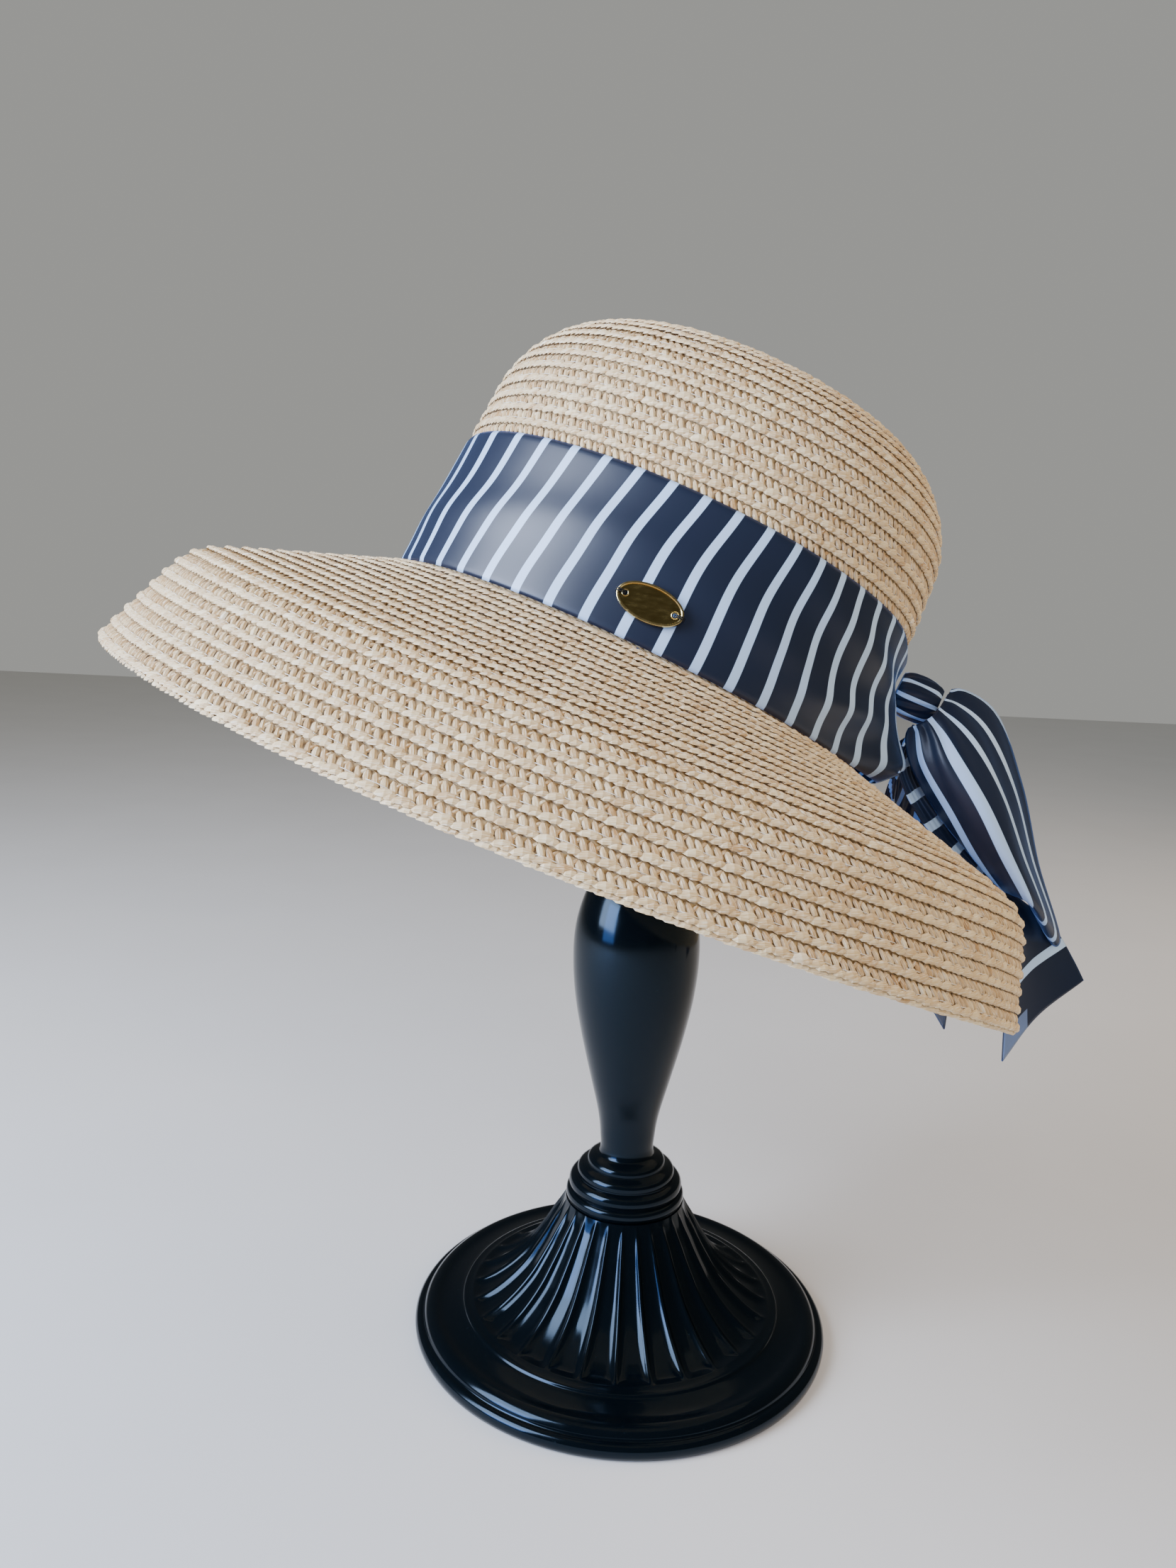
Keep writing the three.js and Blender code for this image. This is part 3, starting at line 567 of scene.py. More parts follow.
def braid_pieces(name, place, pitch, cells, nodes):
    """Turns leaves into meshes that follow the surface, in pieces of at most LEAF_LIMIT leaves."""
    quads, tris = leaf_faces()
    count = math.ceil(len(cells) / LEAF_LIMIT)
    for index, part in enumerate(np.array_split(cells, count)):
        angle, row, u0, v0, u1, v1, width, low, high, arch, _ = (c[:, None] for c in part.T)
        step = 0.004
        span = np.linalg.norm(place(angle + step, row + 0.5, 0) - place(angle - step, row + 0.5, 0), axis=-1)
        speed = np.maximum(span / (2 * step), 2.0)
        du, dv = u1 - u0, v1 - v0
        length = np.hypot(du, dv)
        p = np.concatenate([[0], np.repeat(LEAF_STATIONS[1:4], 4), [1]])[None]
        q = np.concatenate([[0], np.tile(LEAF_SECTION[:, 0], 3), [0]])[None]
        lift = np.concatenate([[0.3], np.tile(LEAF_SECTION[:, 1], 3), [0.3]])[None]
        wide = np.concatenate([[0], np.repeat(LEAF_WIDTHS[1:4], 4), [0]])[None]
        u = u0 + du * p - dv / length * q * wide * width
        v = v0 + dv * p + du / length * q * wide * width
        h = lerp(low, high, p) + arch * np.sin(math.pi * p) + LEAF_THICKNESS * lift * (0.35 + 0.65 * wide)
        points = place(angle + u / speed, row + v / pitch, h)
        start = LEAF_POINTS * np.arange(len(part))[:, None, None]
        all_quads, all_tris = (quads[None] + start).reshape(-1, 4), (tris[None] + start).reshape(-1, 3)
        shift = rng.random((len(part), 1)) * 100
        flat = np.stack([p * length + shift, q * width + shift * 3], -1).reshape(-1, 2)
        corners = np.concatenate([all_quads.ravel(), all_tris.ravel()])
        values = {"tone": np.repeat(part[:, -1], LEAF_POINTS)}
        label, spots = f"{name}_{index + 1}", to_room(points.reshape(-1, 3))
        piece = mesh_piece(label, spots, all_quads, all_tris, flat[corners], values, smooth=False)
        finish_piece(piece, straw_leaf, nodes)


STITCH_PITCH, STITCH_LENGTH, STITCH_SPREAD, STITCH_DRIFT = 9.5, 7.6, 0.6, 0.12
# How far down each row the stitches lie, where its rope begins
STITCH_DOWN = 3.75
THREAD_RADIUS, THREAD_SIDES = 0.13, 3

def stitch_piece(name, place, rows, pitch, nodes):
    """Running stitches of white thread along the upper side of each row's edge rope."""
    stations = np.array([0, 0.12, 0.5, 0.88, 1])
    heights = np.array([-0.2, 0.62, 0.85, 0.62, -0.2])
    thin = np.array([0.5, 1, 1, 1, 0.5])[None, :, None] * THREAD_RADIUS
    around = (np.arange(THREAD_SIDES) / THREAD_SIDES * TURN)[None, None]
    points, quads, tris = [], [], []
    count = 0
    for row in rows:
        arc = way_along(place(RING, row + 0.5, 0))
        number = round(arc[-1] / STITCH_PITCH)
        if number < 4:
            continue
        begin = (np.arange(number) + rng.random()) * arc[-1] / number
        length = STITCH_LENGTH + rng.normal(0, STITCH_SPREAD, number)
        line = (begin[:, None] + stations[None] * length[:, None]) % arc[-1]
        angle = np.interp(line, arc, RING)[..., None]
        shift, lean = (rng.normal(0, STITCH_DRIFT, (number, 1, 1)) for _ in range(2))
        drift = shift + lean * stations[None, :, None]
        down = STITCH_DOWN / ROW_PITCH * pitch + drift + thin * np.cos(around)
        high = heights[None, :, None] + thin * np.sin(around)
        points.append(to_room(place(angle + 0 * around, row + down / pitch, high)).reshape(-1, 3))
        base = count + np.arange(number)[:, None] * len(stations) * THREAD_SIDES
        for near in range(0, (len(stations) - 1) * THREAD_SIDES, THREAD_SIDES):
            far = near + THREAD_SIDES
            for i in range(THREAD_SIDES):
                j = (i + 1) % THREAD_SIDES
                quads.append(base + [near + i, near + j, far + j, far + i])
        last = (len(stations) - 1) * THREAD_SIDES
        tris.append(base + [0, 2, 1])
        tris.append(base + [last, last + 1, last + 2])
        count += number * len(stations) * THREAD_SIDES
    piece = mesh_piece(name, np.concatenate(points), np.concatenate(quads), np.concatenate(tris))
    finish_piece(piece, white_thread, nodes)

# The sash hides the crown's lowest rows, and the row at its edge shows only its steep leaves
CROWN_SHOWN_ROWS = range(0, 21)
PALE_SHARE = 0.003
crown_cells = np.concatenate(
    [leaf_cells(crown_place, row, CROWN_PITCH, BRAID_CELL, LEAVES, PALE_SHARE) for row in CROWN_SHOWN_ROWS]
    + [leaf_cells(crown_place, CROWN_SHOWN_ROWS.stop, CROWN_PITCH, BRAID_CELL, STEEP_LEAVES, PALE_SHARE)]
)
brim_pitch = BRIM_WIDTH / BRIM_ROWS
brim_cells = np.concatenate(
    [leaf_cells(brim_place, row, brim_pitch, BRAID_CELL, LEAVES, PALE_SHARE) for row in range(BRIM_ROWS)]
    + [leaf_cells(brim_place, BRIM_ROWS, brim_pitch, BRAID_CELL, RIM_LEAVES, 0)]
)
braid_pieces("crown_braid", crown_place, CROWN_PITCH, crown_cells, ["straw_crown"])
braid_pieces("brim_braid", brim_place, brim_pitch, brim_cells, ["straw_brim"])
stitch_piece("crown_stitches", crown_place, CROWN_SHOWN_ROWS, CROWN_PITCH, ["straw_crown"])
stitch_piece("brim_stitches", brim_place, range(BRIM_ROWS), brim_pitch, ["straw_brim"])

# The wall under the leaves: plain above, where its dark colour is painted shade in the gaps between the
# leaves, and stepped rows of braid on the inside
OUTER_DEPTH = -0.8
INNER_STEPS = np.array([(0.02, -1.5), (0.3, -2.0), (0.72, -2.3), (0.97, -2.35)])
EDGE_DEPTH = -1.8
WALL_SEGMENTS = 192


def straw_wall(name, place, first, last, nodes):
    t = np.arange(WALL_SEGMENTS + 1) / WALL_SEGMENTS * TURN
    rows = np.concatenate([[first]] + [row + INNER_STEPS[:, 0] for row in range(first, last)] + [[last]])
    depth = np.concatenate([[INNER_STEPS[0, 1]], np.tile(INNER_STEPS[:, 1], last - first), [EDGE_DEPTH]])
    inner = to_room(place(t[None, :-1], rows[:, None], depth[:, None] + 0 * t[None, :-1]))
    outer = to_room(place(t[None, :-1], rows[:, None], OUTER_DEPTH + 0 * t[None, :-1]))
    middle = place(t, (first + last) / 2, 0)
    cells = way_along(middle)[-1] / BRAID_CELL
    uv = np.stack(np.broadcast_arrays(t[None] / TURN * round(cells), rows[:, None]), -1)
    return finish_piece(wall_piece(name, outer, inner, uv, True), straw_inside, nodes)


straw_wall("crown_lining", crown_place, 0, CROWN_ROWS, ["straw_crown"])
straw_wall("brim_lining", brim_place, 0, BRIM_ROWS, ["straw_brim"])

# Sash round the crown

BAND_HEIGHT = 54.3
BAND_THICKNESS = 1
BAND_FOLD = 1.3
BOW_ANGLE = rad(1)
# Angle, rise, slant and spread of each long shallow fold, and its depth
BAND_FOLDS = [
    (-100, 0.55, 0.12, 34, 0.7),
    (-58, 0.42, -0.1, 30, 1),
    (-38, 0.68, -0.3, 26, 0.9),
    (-140, 0.4, 0.05, 26, 0.6),
    (60, 0.5, 0.2, 32, 1),
    (130, 0.45, -0.1, 36, 0.7),
]
# Sharper crumples near the bow, which the flat source leaves out
BAND_CRUMPLES = [
    (-30, 0.3, 0.1, 17, 2.2),
    (-22, 0.66, -0.1, 14, 2.0),
    (-12, 0.12, 0.1, 13, 2.6),
    (26, 0.35, 0.0, 16, 2.0),
    (18, 0.7, 0.1, 13, 1.8),
]
FOLD_HEIGHT, CRUMPLE_HEIGHT = 0.16, 0.11
PINCH_SPREAD = rad(13)
PINCH_LOWER, PINCH_UPPER, PINCH_PLEAT, PINCH_PLEATS = 0.26, 0.1, 1.4, 2.5
# The sash's lower half swells out beside the knot, and is drawn up there less than in the source
FLARE_ANGLE, FLARE_SPREAD, FLARE_RISE, FLARE_HEIGHT, FLARE = rad(-5), rad(13), 0.2, 0.3, 12
SHOWN_PINCH = 0.03

def pinch_at(t):
    """How strongly the bow draws the sash together, from 0 to 1."""
    return np.exp(-((turn_between(t, BOW_ANGLE) / PINCH_SPREAD) ** 2))

def ridges(folds, height, t, share):
    """Folds that run round the sash, each at its angle and rise, slanted, and fading out to its ends."""
    relief = 0 * t * share
    for angle, rise, slant, spread, depth in folds:
        away = turn_between(t, rad(angle)) / rad(spread)
        off = (share - rise - slant * away) / height
        relief = relief + depth * np.exp(-away * away - off * off)
    return relief

def band_relief(t, share, crumpled):
    relief = BAND_FOLD * ridges(BAND_FOLDS, FOLD_HEIGHT, t, share)
    if crumpled:
        away = turn_between(t, FLARE_ANGLE) / FLARE_SPREAD
        off = (share - FLARE_RISE) / FLARE_HEIGHT
        relief = relief + ridges(BAND_CRUMPLES, CRUMPLE_HEIGHT, t, share)
        relief = relief + FLARE * np.exp(-away * away - off * off)
    pleat = 0.5 - 0.5 * np.cos(TURN * PINCH_PLEATS * share)
    return relief + PINCH_PLEAT * pinch_at(t) * pleat

def band_place(t, share, lift, crumpled=True):
    """A point on the sash: share runs up its height, lift is out from the crown."""
    t, share, lift = np.broadcast_arrays(t, share, lift)
    pinch = pinch_at(t)
    low = SEAT_GAP + BAND_HEIGHT * (SHOWN_PINCH if crumpled else PINCH_LOWER) * pinch
    z = lerp(low, BAND_HEIGHT * (1 - PINCH_UPPER * pinch), share)
    out = SEAT_GAP + lift + band_relief(t, share, crumpled)
    a = lerp(CROWN_LENGTH, CROWN_TOP_LENGTH, z / CROWN_SIDE) + out
    b = lerp(CROWN_WIDTH, CROWN_TOP_WIDTH, z / CROWN_SIDE) + out
    return np.stack([a * np.cos(t), b * np.sin(t), z], -1)

BAND_STRIPE_SHIFT, BAND_STRIPE_SKEW = 3.0, 0.12
# The stripes lean more at the front
FRONT_ANGLE, FRONT_REACH, FRONT_FADE, FRONT_SKEW = rad(-95), rad(45), rad(14), -0.22
BAND_SEGMENTS, BAND_ROWS = 448, 40
# The hems are turned in, so the edges are rounded
HEM_DEPTH, HEM_REACH = 0.55, 0.012
BAND_CLOTH = 0.7

def sash():
    t = np.arange(BAND_SEGMENTS + 1) / BAND_SEGMENTS * TURN
    share = np.linspace(0, 1, BAND_ROWS + 1)[:, None]
    edge = HEM_DEPTH * (np.exp(-share / HEM_REACH) + np.exp(-(1 - share) / HEM_REACH))
    outer = band_place(t[None, :-1], share, BAND_THICKNESS - edge)
    inner = band_place(t[None, :-1], share, BAND_THICKNESS - BAND_CLOTH)
    arc = way_along(band_place(t, 0.5, 1))
    rise = share * BAND_HEIGHT
    # The stripes wander in one long wave and one short one
    wave = 1.5 * np.sin(rise / 13 + 1.2 * np.sin(t[None] * 2)) + 0.3 * np.sin(rise / 6 + t[None] * 3)
    whole = round(arc[-1] / STRIPE_PITCH) * STRIPE_PITCH
    front = 0.5 - 0.5 * np.tanh((np.abs(turn_between(t, FRONT_ANGLE)) - FRONT_REACH) / FRONT_FADE)
    u = arc[None] * whole / arc[-1] + rise * (BAND_STRIPE_SKEW + FRONT_SKEW * front[None]) + wave
    uv = np.stack(np.broadcast_arrays(u, rise), -1)
    piece = wall_piece("sash_band", to_room(outer), to_room(inner), uv, True)
    finish_piece(piece, striped_satin("printed_satin_band", 0, BAND_STRIPE_SHIFT), ["ribbon_band"])

sash()

# Bow

KNOT_RISE, KNOT_LENGTH, KNOT_HALF_HEIGHT, KNOT_HALF_WIDTH = 38.4, 16, 8.7, 8.5
LOOP_GAP, LOOP_FOLD_REACH = 9, 1.8
BOW_DROP, BOW_LIFT = 107, 40
CLOTH = 0.8
KNOT_STAND_OFF = SEAT_GAP + BAND_THICKNESS + PINCH_PLEAT + SEAT_GAP
SLOPE_AT_KNOT = rad(float(waved(SLOPE_INNER, "inner", BOW_ANGLE)))
ROOT_REACH = KNOT_STAND_OFF + KNOT_LENGTH + 2 * SEAT_GAP - BOW_LIFT * math.sin(SLOPE_AT_KNOT)

# Each row holds the cloth's one edge, its crest and its other edge: an angle beside the knot in degrees,
# a share of the bow's drop beyond the knot, and a share of the bow's lift
NEAR_LOOP = [
    [(-6.2, -0.055, 0.68), (-7.8, -0.017, 0.86), (-1.5, -0.032, 1.25)],
    [(-6.4, -0.037, 0.591), (-8.9, 0.059, 0.802), (-0.5, 0.014, 1.334)],
    [(-6.1, 0.039, 0.433), (-9.8, 0.16, 0.693), (1.3, 0.154, 1.387)],
    [(-3.9, 0.235, 0.25), (-8.8, 0.357, 0.516), (3.2, 0.423, 1.045)],
    [(-1.9, 0.431, 0.165), (-6.1, 0.531, 0.331), (4.9, 0.648, 0.607)],
    [(2, 0.633, 0.15), (-1.7, 0.684, 0.225), (6.6, 0.799, 0.6)],
]
FAR_LOOP = [
    [(4, -0.018, 1.1), (7.4, -0.017, 0.85), (8.2, -0.045, 0.57)],
    [(5.5, 0.05, 0.95), (12, 0.06, 0.8), (11.5, 0, 0.52)],
    [(9, 0.16, 0.8), (17.5, 0.17, 0.7), (18, 0.1, 0.37)],
    [(14.5, 0.36, 0.62), (24, 0.36, 0.55), (28, 0.28, 0.27)],
    [(18.5, 0.56, 0.45), (29, 0.55, 0.42), (35, 0.46, 0.19)],
    [(21, 0.72, 0.33), (31, 0.7, 0.3), (38, 0.62, 0.18)],
]
NEAR_TAIL = [
    [(-4, -0.05, 0.7), (0.2, -0.05, 0.76), (1.5, -0.048, 0.773)],
    [(-9.5, 0.01, 0.34), (-3, 0.05, 0.38), (1.4, 0.12, 0.42)],
    [(-5.5, 0.24, 0.08), (-1.8, 0.31, 0.18), (2.3, 0.38, 0.34)],
    [(0.2, 0.54, 0.065), (2, 0.57, 0.11), (4.4, 0.62, 0.22)],
    [(2.4, 0.78, 0.07), (5, 0.77, 0.25), (7.8, 0.77, 0.58)],
    [(3.2, 0.98, 0.07), (5.6, 0.92, 0.34), (8.6, 0.865, 0.8)],
    [(4.4, 1.27, 0.13), (6.2, 1.09, 0.42), (8.7, 0.938, 0.906)],
]
FAR_TAIL = [
    [(2.3, -0.05, 0.785), (3, -0.05, 0.805), (3.8, -0.05, 0.82)],
    [(8, 0.1, 0.18), (11, 0.1, 0.2), (14, 0.1, 0.18)],
    [(15, 0.3, 0.1), (20, 0.3, 0.12), (24, 0.3, 0.1)],
    [(20, 0.55, 0.07), (27, 0.55, 0.09), (33, 0.55, 0.07)],
    [(22, 0.8, 0.1), (30, 0.8, 0.13), (37, 0.8, 0.1)],
    [(25, 1.29, 0.1), (31, 1.16, 0.13), (37, 1.03, 0.1)],
]
# The gap between a loop's two layers at each row, as shares of its largest, and at each edge and crest
LOOP_GAP_ROWS = np.array([0.29, 0.44, 0.78, 1, 0.78, 0.38])
NEAR_GAP_EDGES, FAR_GAP_EDGES = np.array([0.7, 1, 1]), np.array([1, 1, 0.7])


def smooth_path(points, u):
    """The smooth curve through points, centripetal Catmull-Rom, read at u from 0 to 1."""
    points = np.asarray(points, float)
    ends = np.concatenate([[2 * points[0] - points[1]], points, [2 * points[-1] - points[-2]]])
    place = np.clip(u, 0, 1) * (len(points) - 1)
    index = np.minimum(place.astype(int), len(points) - 2)
    w = (place - index)[:, None]
    p0, p1, p2, p3 = (ends[index + k] for k in range(4))
    pairs = ((p0, p1), (p1, p2), (p2, p3))
    d0, d1, d2 = (np.maximum(np.sum((b - a) ** 2, -1, keepdims=True) ** 0.25, 1e-4) for a, b in pairs)
    m1 = ((p1 - p0) / d0 - (p2 - p0) / (d0 + d1) + (p2 - p1) / d1) * d1
    m2 = ((p2 - p1) / d1 - (p3 - p1) / (d1 + d2) + (p3 - p2) / d2) * d1
    c2 = -3 * p1 + 3 * p2 - 2 * m1 - m2
    c3 = 2 * p1 - 2 * p2 + m1 + m2
    return p1 + m1 * w + c2 * w ** 2 + c3 * w ** 3


def smooth_values(values, u):
    """The same curve through evenly spaced values."""
    return smooth_path(np.stack([np.arange(len(values)), values], 1), u)[:, 1]


def bow_points(rows):
    table = np.array(rows, float)
    t = BOW_ANGLE + np.radians(table[..., 0])
    row = lerp(ROOT_REACH, BOW_DROP, table[..., 1]) / BRIM_WIDTH * BRIM_ROWS
    return brim_place(t, row, table[..., 2] * BOW_LIFT)


def grid_normals(grid):
    """Directions square to a grid of points, on the side away from the brim."""
    along = np.concatenate([grid[1:2] - grid[:1], grid[2:] - grid[:-2], grid[-1:] - grid[-2:-1]])
    over = np.concatenate(
        [grid[:, 1:2] - grid[:, :1], grid[:, 2:] - grid[:, :-2], grid[:, -1:] - grid[:, -2:-1]], 1
    )
    normals = np.cross(along, over)
    return normals / np.maximum(np.linalg.norm(normals, axis=-1, keepdims=True), 1e-9)


def loop_points(rows, gap_edges):
    """A loop runs out, folds over at its end and comes back underneath."""
    top = bow_points(rows)
    under = top - grid_normals(top) * (LOOP_GAP * LOOP_GAP_ROWS[:, None] * gap_edges)[..., None]
    ahead = top[-1] - top[-2]
    ahead /= np.linalg.norm(ahead, axis=1, keepdims=True)
    fold = lerp(top[-1], under[-1], 0.5) + ahead * LOOP_FOLD_REACH
    return np.concatenate([top, fold[None], under[::-1]])


CLOTH_STEPS, CLOTH_COLUMNS = 96, 41


def cloth_surface(points):
    """A smooth surface through a grid of points."""
    u, s = np.linspace(0, 1, CLOTH_STEPS + 1), np.linspace(0, 1, CLOTH_COLUMNS)
    lines = np.stack([smooth_path(points[:, j], u) for j in range(points.shape[1])], 1)
    return np.stack([smooth_path(line, s) for line in lines])


# Soft puckers that run out from the knot and fade: how many, how deep, how far as a share of the strip,
# where they begin and how they drift
PUCKERS, PUCKER_DEPTH, PUCKER_REACH, PUCKER_START, PUCKER_DRIFT = 5.3, 0.55, 0.2, 4, 9
# The cloth's width where the knot gathers it, how far out that reaches, how much the cloth is stretched, and
# how much and how far the stripe on a loop's crest is pulled wide
GATHERED_WIDTH, GATHER_REACH, CLOTH_PULL, CREST_PULL, CREST_REACH = 66, 32, 0.9, 0.45, 4
LOOP_STRIPE_WIDTH, TAIL_STRIPE_WIDTH = 2.9, 3.8
# A tail is bare for a stretch before its last stripe and after it, and its stripes run aslant
TAIL_LAST_STRIPE, TAIL_BARE, TAIL_SLANT, FAR_TAIL_SHIFT = 91.3, 19.7, 11, 4
TAIL_GAP = TAIL_LAST_STRIPE - STRIPE_PITCH / 2
TAIL_RUN = (-10, TAIL_GAP, TAIL_GAP + TAIL_BARE, TAIL_GAP + TAIL_BARE + STRIPE_PITCH, 200)
TAIL_PRINT = (-10, TAIL_GAP, TAIL_GAP, TAIL_GAP + STRIPE_PITCH, TAIL_GAP + STRIPE_PITCH)
# The tails are cut tapered, narrow at the knot
# The near tail's corner turns over and shows its wrong side, past this share of its length and under this
# share of its width
TURNED_CORNER = (0.93, 0.36)

def bow_cloth(name, points, flow, shift, width, cad_node, corner=None):
    """One strip of the bow. Its stripes run along it from the crest outwards, or across it, as flow says."""
    grid = cloth_surface(points)
    s = np.linspace(0, 1, CLOTH_COLUMNS)[None]
    along = way_along(grid[:, CLOTH_COLUMNS // 2])[:, None]
    away = np.minimum(along, along[-1] - along) if flow == "along" else along
    fade = np.exp(-away / (PUCKER_REACH * along[-1])) * np.clip(away / PUCKER_START, 0, 1)
    pucker = PUCKER_DEPTH * fade * np.sin(TURN * PUCKERS * s + along / PUCKER_DRIFT)
    grid = grid + grid_normals(grid) * pucker[..., None]
    normals = grid_normals(grid)
    steps = np.linalg.norm(np.diff(grid, axis=1), axis=-1)
    cross = np.concatenate([np.zeros((len(grid), 1)), np.cumsum(steps, 1)], 1)
    cross = cross - cross[:, CLOTH_COLUMNS // 2][:, None]
    if flow == "along":
        gather = np.maximum(1, GATHERED_WIDTH / (cross[:, -1:] - cross[:, :1]))
        cross = cross * (1 + (gather - 1) * np.exp(-((away / GATHER_REACH) ** 2))) * CLOTH_PULL
        cross = cross * (1 - CREST_PULL * np.exp(-((cross / CREST_REACH) ** 2)))
        run, axis = along, 1
    else:
        run, axis = np.interp(along + TAIL_SLANT * (s - 0.5), TAIL_RUN, TAIL_PRINT), 0
    uv = np.stack(np.broadcast_arrays(run, cross), -1)
    outer, inner = grid + normals * CLOTH / 2, grid - normals * CLOTH / 2
    piece = wall_piece(name, to_room(outer), to_room(inner), uv, False)
    finish_piece(piece, striped_satin("printed_satin_" + name, axis, shift, width), [cad_node])
    if corner:
        piece.data.materials.append(satin_back)
        u = np.arange(CLOTH_STEPS)[:, None] / CLOTH_STEPS
        v = np.arange(CLOTH_COLUMNS - 1)[None] / CLOTH_COLUMNS
        shown = ((u > corner[0]) & (v < corner[1])).astype(np.int32).ravel()
        sides = np.zeros(len(piece.data.polygons), np.int32)
        sides[:len(shown)] = shown
        piece.data.polygons.foreach_set("material_index", sides)

bow_cloth(
    "near_loop", loop_points(NEAR_LOOP, NEAR_GAP_EDGES), "along", STRIPE_PITCH / 2, LOOP_STRIPE_WIDTH,
    "bow_loop_near",
)
bow_cloth(
    "far_loop", loop_points(FAR_LOOP, FAR_GAP_EDGES), "along", STRIPE_PITCH / 2, LOOP_STRIPE_WIDTH,
    "bow_loop_far",
)
bow_cloth(
    "near_tail", bow_points(NEAR_TAIL), "across", STRIPE_PITCH / 2 - TAIL_LAST_STRIPE, TAIL_STRIPE_WIDTH,
    "bow_tail_near", TURNED_CORNER,
)
bow_cloth(
    "far_tail", bow_points(FAR_TAIL), "across", FAR_TAIL_SHIFT, TAIL_STRIPE_WIDTH,
    "bow_tail_far",
)

# (along, width, height) as shares of the knot's own
KNOT_SECTIONS = [
    (0, 0.84, 0.82),
    (0.1, 0.92, 0.92),
    (0.25, 0.97, 0.98),
    (0.5, 1, 1),
    (0.75, 0.98, 0.96),
    (0.9, 0.92, 0.88),
    (1, 0.78, 0.76),
]
KNOT_SIDES, KNOT_RINGS = 96, 29
# The knot is gathered, so eight stripes go round it
KNOT_STRIPES, KNOT_STRIPE_SHIFT = 8, 2.0


def knot():
    taper = KNOT_RISE / CROWN_SIDE
    a, b = lerp(CROWN_LENGTH, CROWN_TOP_LENGTH, taper), lerp(CROWN_WIDTH, CROWN_TOP_WIDTH, taper)
    start = np.array([a * math.cos(BOW_ANGLE), b * math.sin(BOW_ANGLE), KNOT_RISE])
    out = np.array([math.cos(BOW_ANGLE), math.sin(BOW_ANGLE), 0])
    side = np.array([-math.sin(BOW_ANGLE), math.cos(BOW_ANGLE), 0])
    up = np.array([0, 0, 1])
    fine = np.linspace(0, 1, KNOT_RINGS)
    along, wide, high = (smooth_values([row[c] for row in KNOT_SECTIONS], fine) for c in range(3))
    t = np.arange(KNOT_SIDES) / KNOT_SIDES * TURN
    pleat = 1 + 0.045 * np.cos(6 * t)[None] + 0.025 * np.cos(17 * t + 9 * fine[:, None])

    def shell(scale):
        return (
            start
            + out * (KNOT_STAND_OFF + KNOT_LENGTH * along)[:, None, None]
            + side * (KNOT_HALF_WIDTH * wide[:, None] * pleat * scale * np.cos(t))[..., None]
            + up * (KNOT_HALF_HEIGHT * high[:, None] * pleat * scale * np.sin(t))[..., None]
        )

    cap = [shell(share)[-1:] for share in (0.9, 0.6, 0.3, 0.02)]
    foot = [shell(share)[:1] for share in (0.02, 0.6)]
    outer = np.concatenate([*foot, shell(1), *cap])
    lengths = np.concatenate([[-8, -4], KNOT_LENGTH * along, KNOT_LENGTH + np.array([1, 3, 5, 7])])
    columns = len(t)
    quads = []
    spots = []
    for i in range(len(outer) - 1):
        for j in range(columns):
            k = (j + 1) % columns
            quads.append((i * columns + j, i * columns + k, (i + 1) * columns + k, (i + 1) * columns + j))
            spots.append(((i, j), (i, j + 1), (i + 1, j + 1), (i + 1, j)))
    points = outer.reshape(-1, 3)
    quads, spots = np.array(quads), np.array(spots)
    first, last = len(points), len(points) + 1
    points = np.concatenate([points, [outer[0].mean(0), outer[-1].mean(0)]])
    tris = []
    for j in range(columns):
        k = (j + 1) % columns
        tris.append((first, k, j))
        tris.append((last, (len(outer) - 1) * columns + j, (len(outer) - 1) * columns + k))
    girth = np.linspace(0, KNOT_STRIPES * STRIPE_PITCH, columns + 1)
    uv = np.stack([girth[spots[..., 1]], lengths[spots[..., 0]]], -1).reshape(-1, 2)
    uv = np.concatenate([uv, np.zeros((3 * len(tris), 2))])
    if signed_volume(points - points.mean(0), quads) < 0:
        quads, tris = quads[:, ::-1], [tri[::-1] for tri in tris]
        uv[: 4 * len(quads)] = uv[: 4 * len(quads)].reshape(-1, 4, 2)[:, ::-1].reshape(-1, 2)
    piece = mesh_piece("knot", to_room(points), quads, tris, uv)
    finish_piece(piece, striped_satin("printed_satin_knot", 0, KNOT_STRIPE_SHIFT), ["bow_knot"])


knot()

# Plaque

PLAQUE_ANGLE, PLAQUE_RISE = rad(-82.4), 13.6
PLAQUE_LENGTH, PLAQUE_WIDTH, PLAQUE_THICKNESS = 23.5, 12.5, 0.9
PLAQUE_RIM_WIDTH, PLAQUE_RIM_HEIGHT = 1.1, 0.6
HOLE_RADIUS, HOLE_INSET = 0.7, 3
# Within this inset the plate's face is darkened
FACE_INSET = 1.2
THREAD_SWAY, TIE_RADIUS, TIE_SIDES = 0.22, 0.22, 8


def plaque_pose():
    """Where the source lays the plaque on the band: a point and the plate's three directions."""
    share, step = PLAQUE_RISE / BAND_HEIGHT, 0.02

    def seat(u, v):
        return band_place(u, v, BAND_THICKNESS, False)

    along = seat(PLAQUE_ANGLE + step, share) - seat(PLAQUE_ANGLE - step, share)
    rise = seat(PLAQUE_ANGLE, share + step) - seat(PLAQUE_ANGLE, share - step)
    along /= np.linalg.norm(along)
    outward = np.cross(along, rise / np.linalg.norm(rise))
    outward /= np.linalg.norm(outward)
    proud = 0
    for turn in (-1, -0.5, 0, 0.5, 1):
        for up in (-1, 0, 1):
            spot = seat(
                PLAQUE_ANGLE + turn * PLAQUE_LENGTH / 2 / CROWN_LENGTH,
                share + up * PLAQUE_WIDTH / 2 / BAND_HEIGHT,
            )
            proud = max(proud, float(np.dot(spot - seat(PLAQUE_ANGLE, share), outward)))
    return seat(PLAQUE_ANGLE, share) + outward * (proud + SEAT_GAP), along, np.cross(outward, along), outward


PLAQUE_AT, PLAQUE_ALONG, PLAQUE_UP, PLAQUE_OUT = plaque_pose()


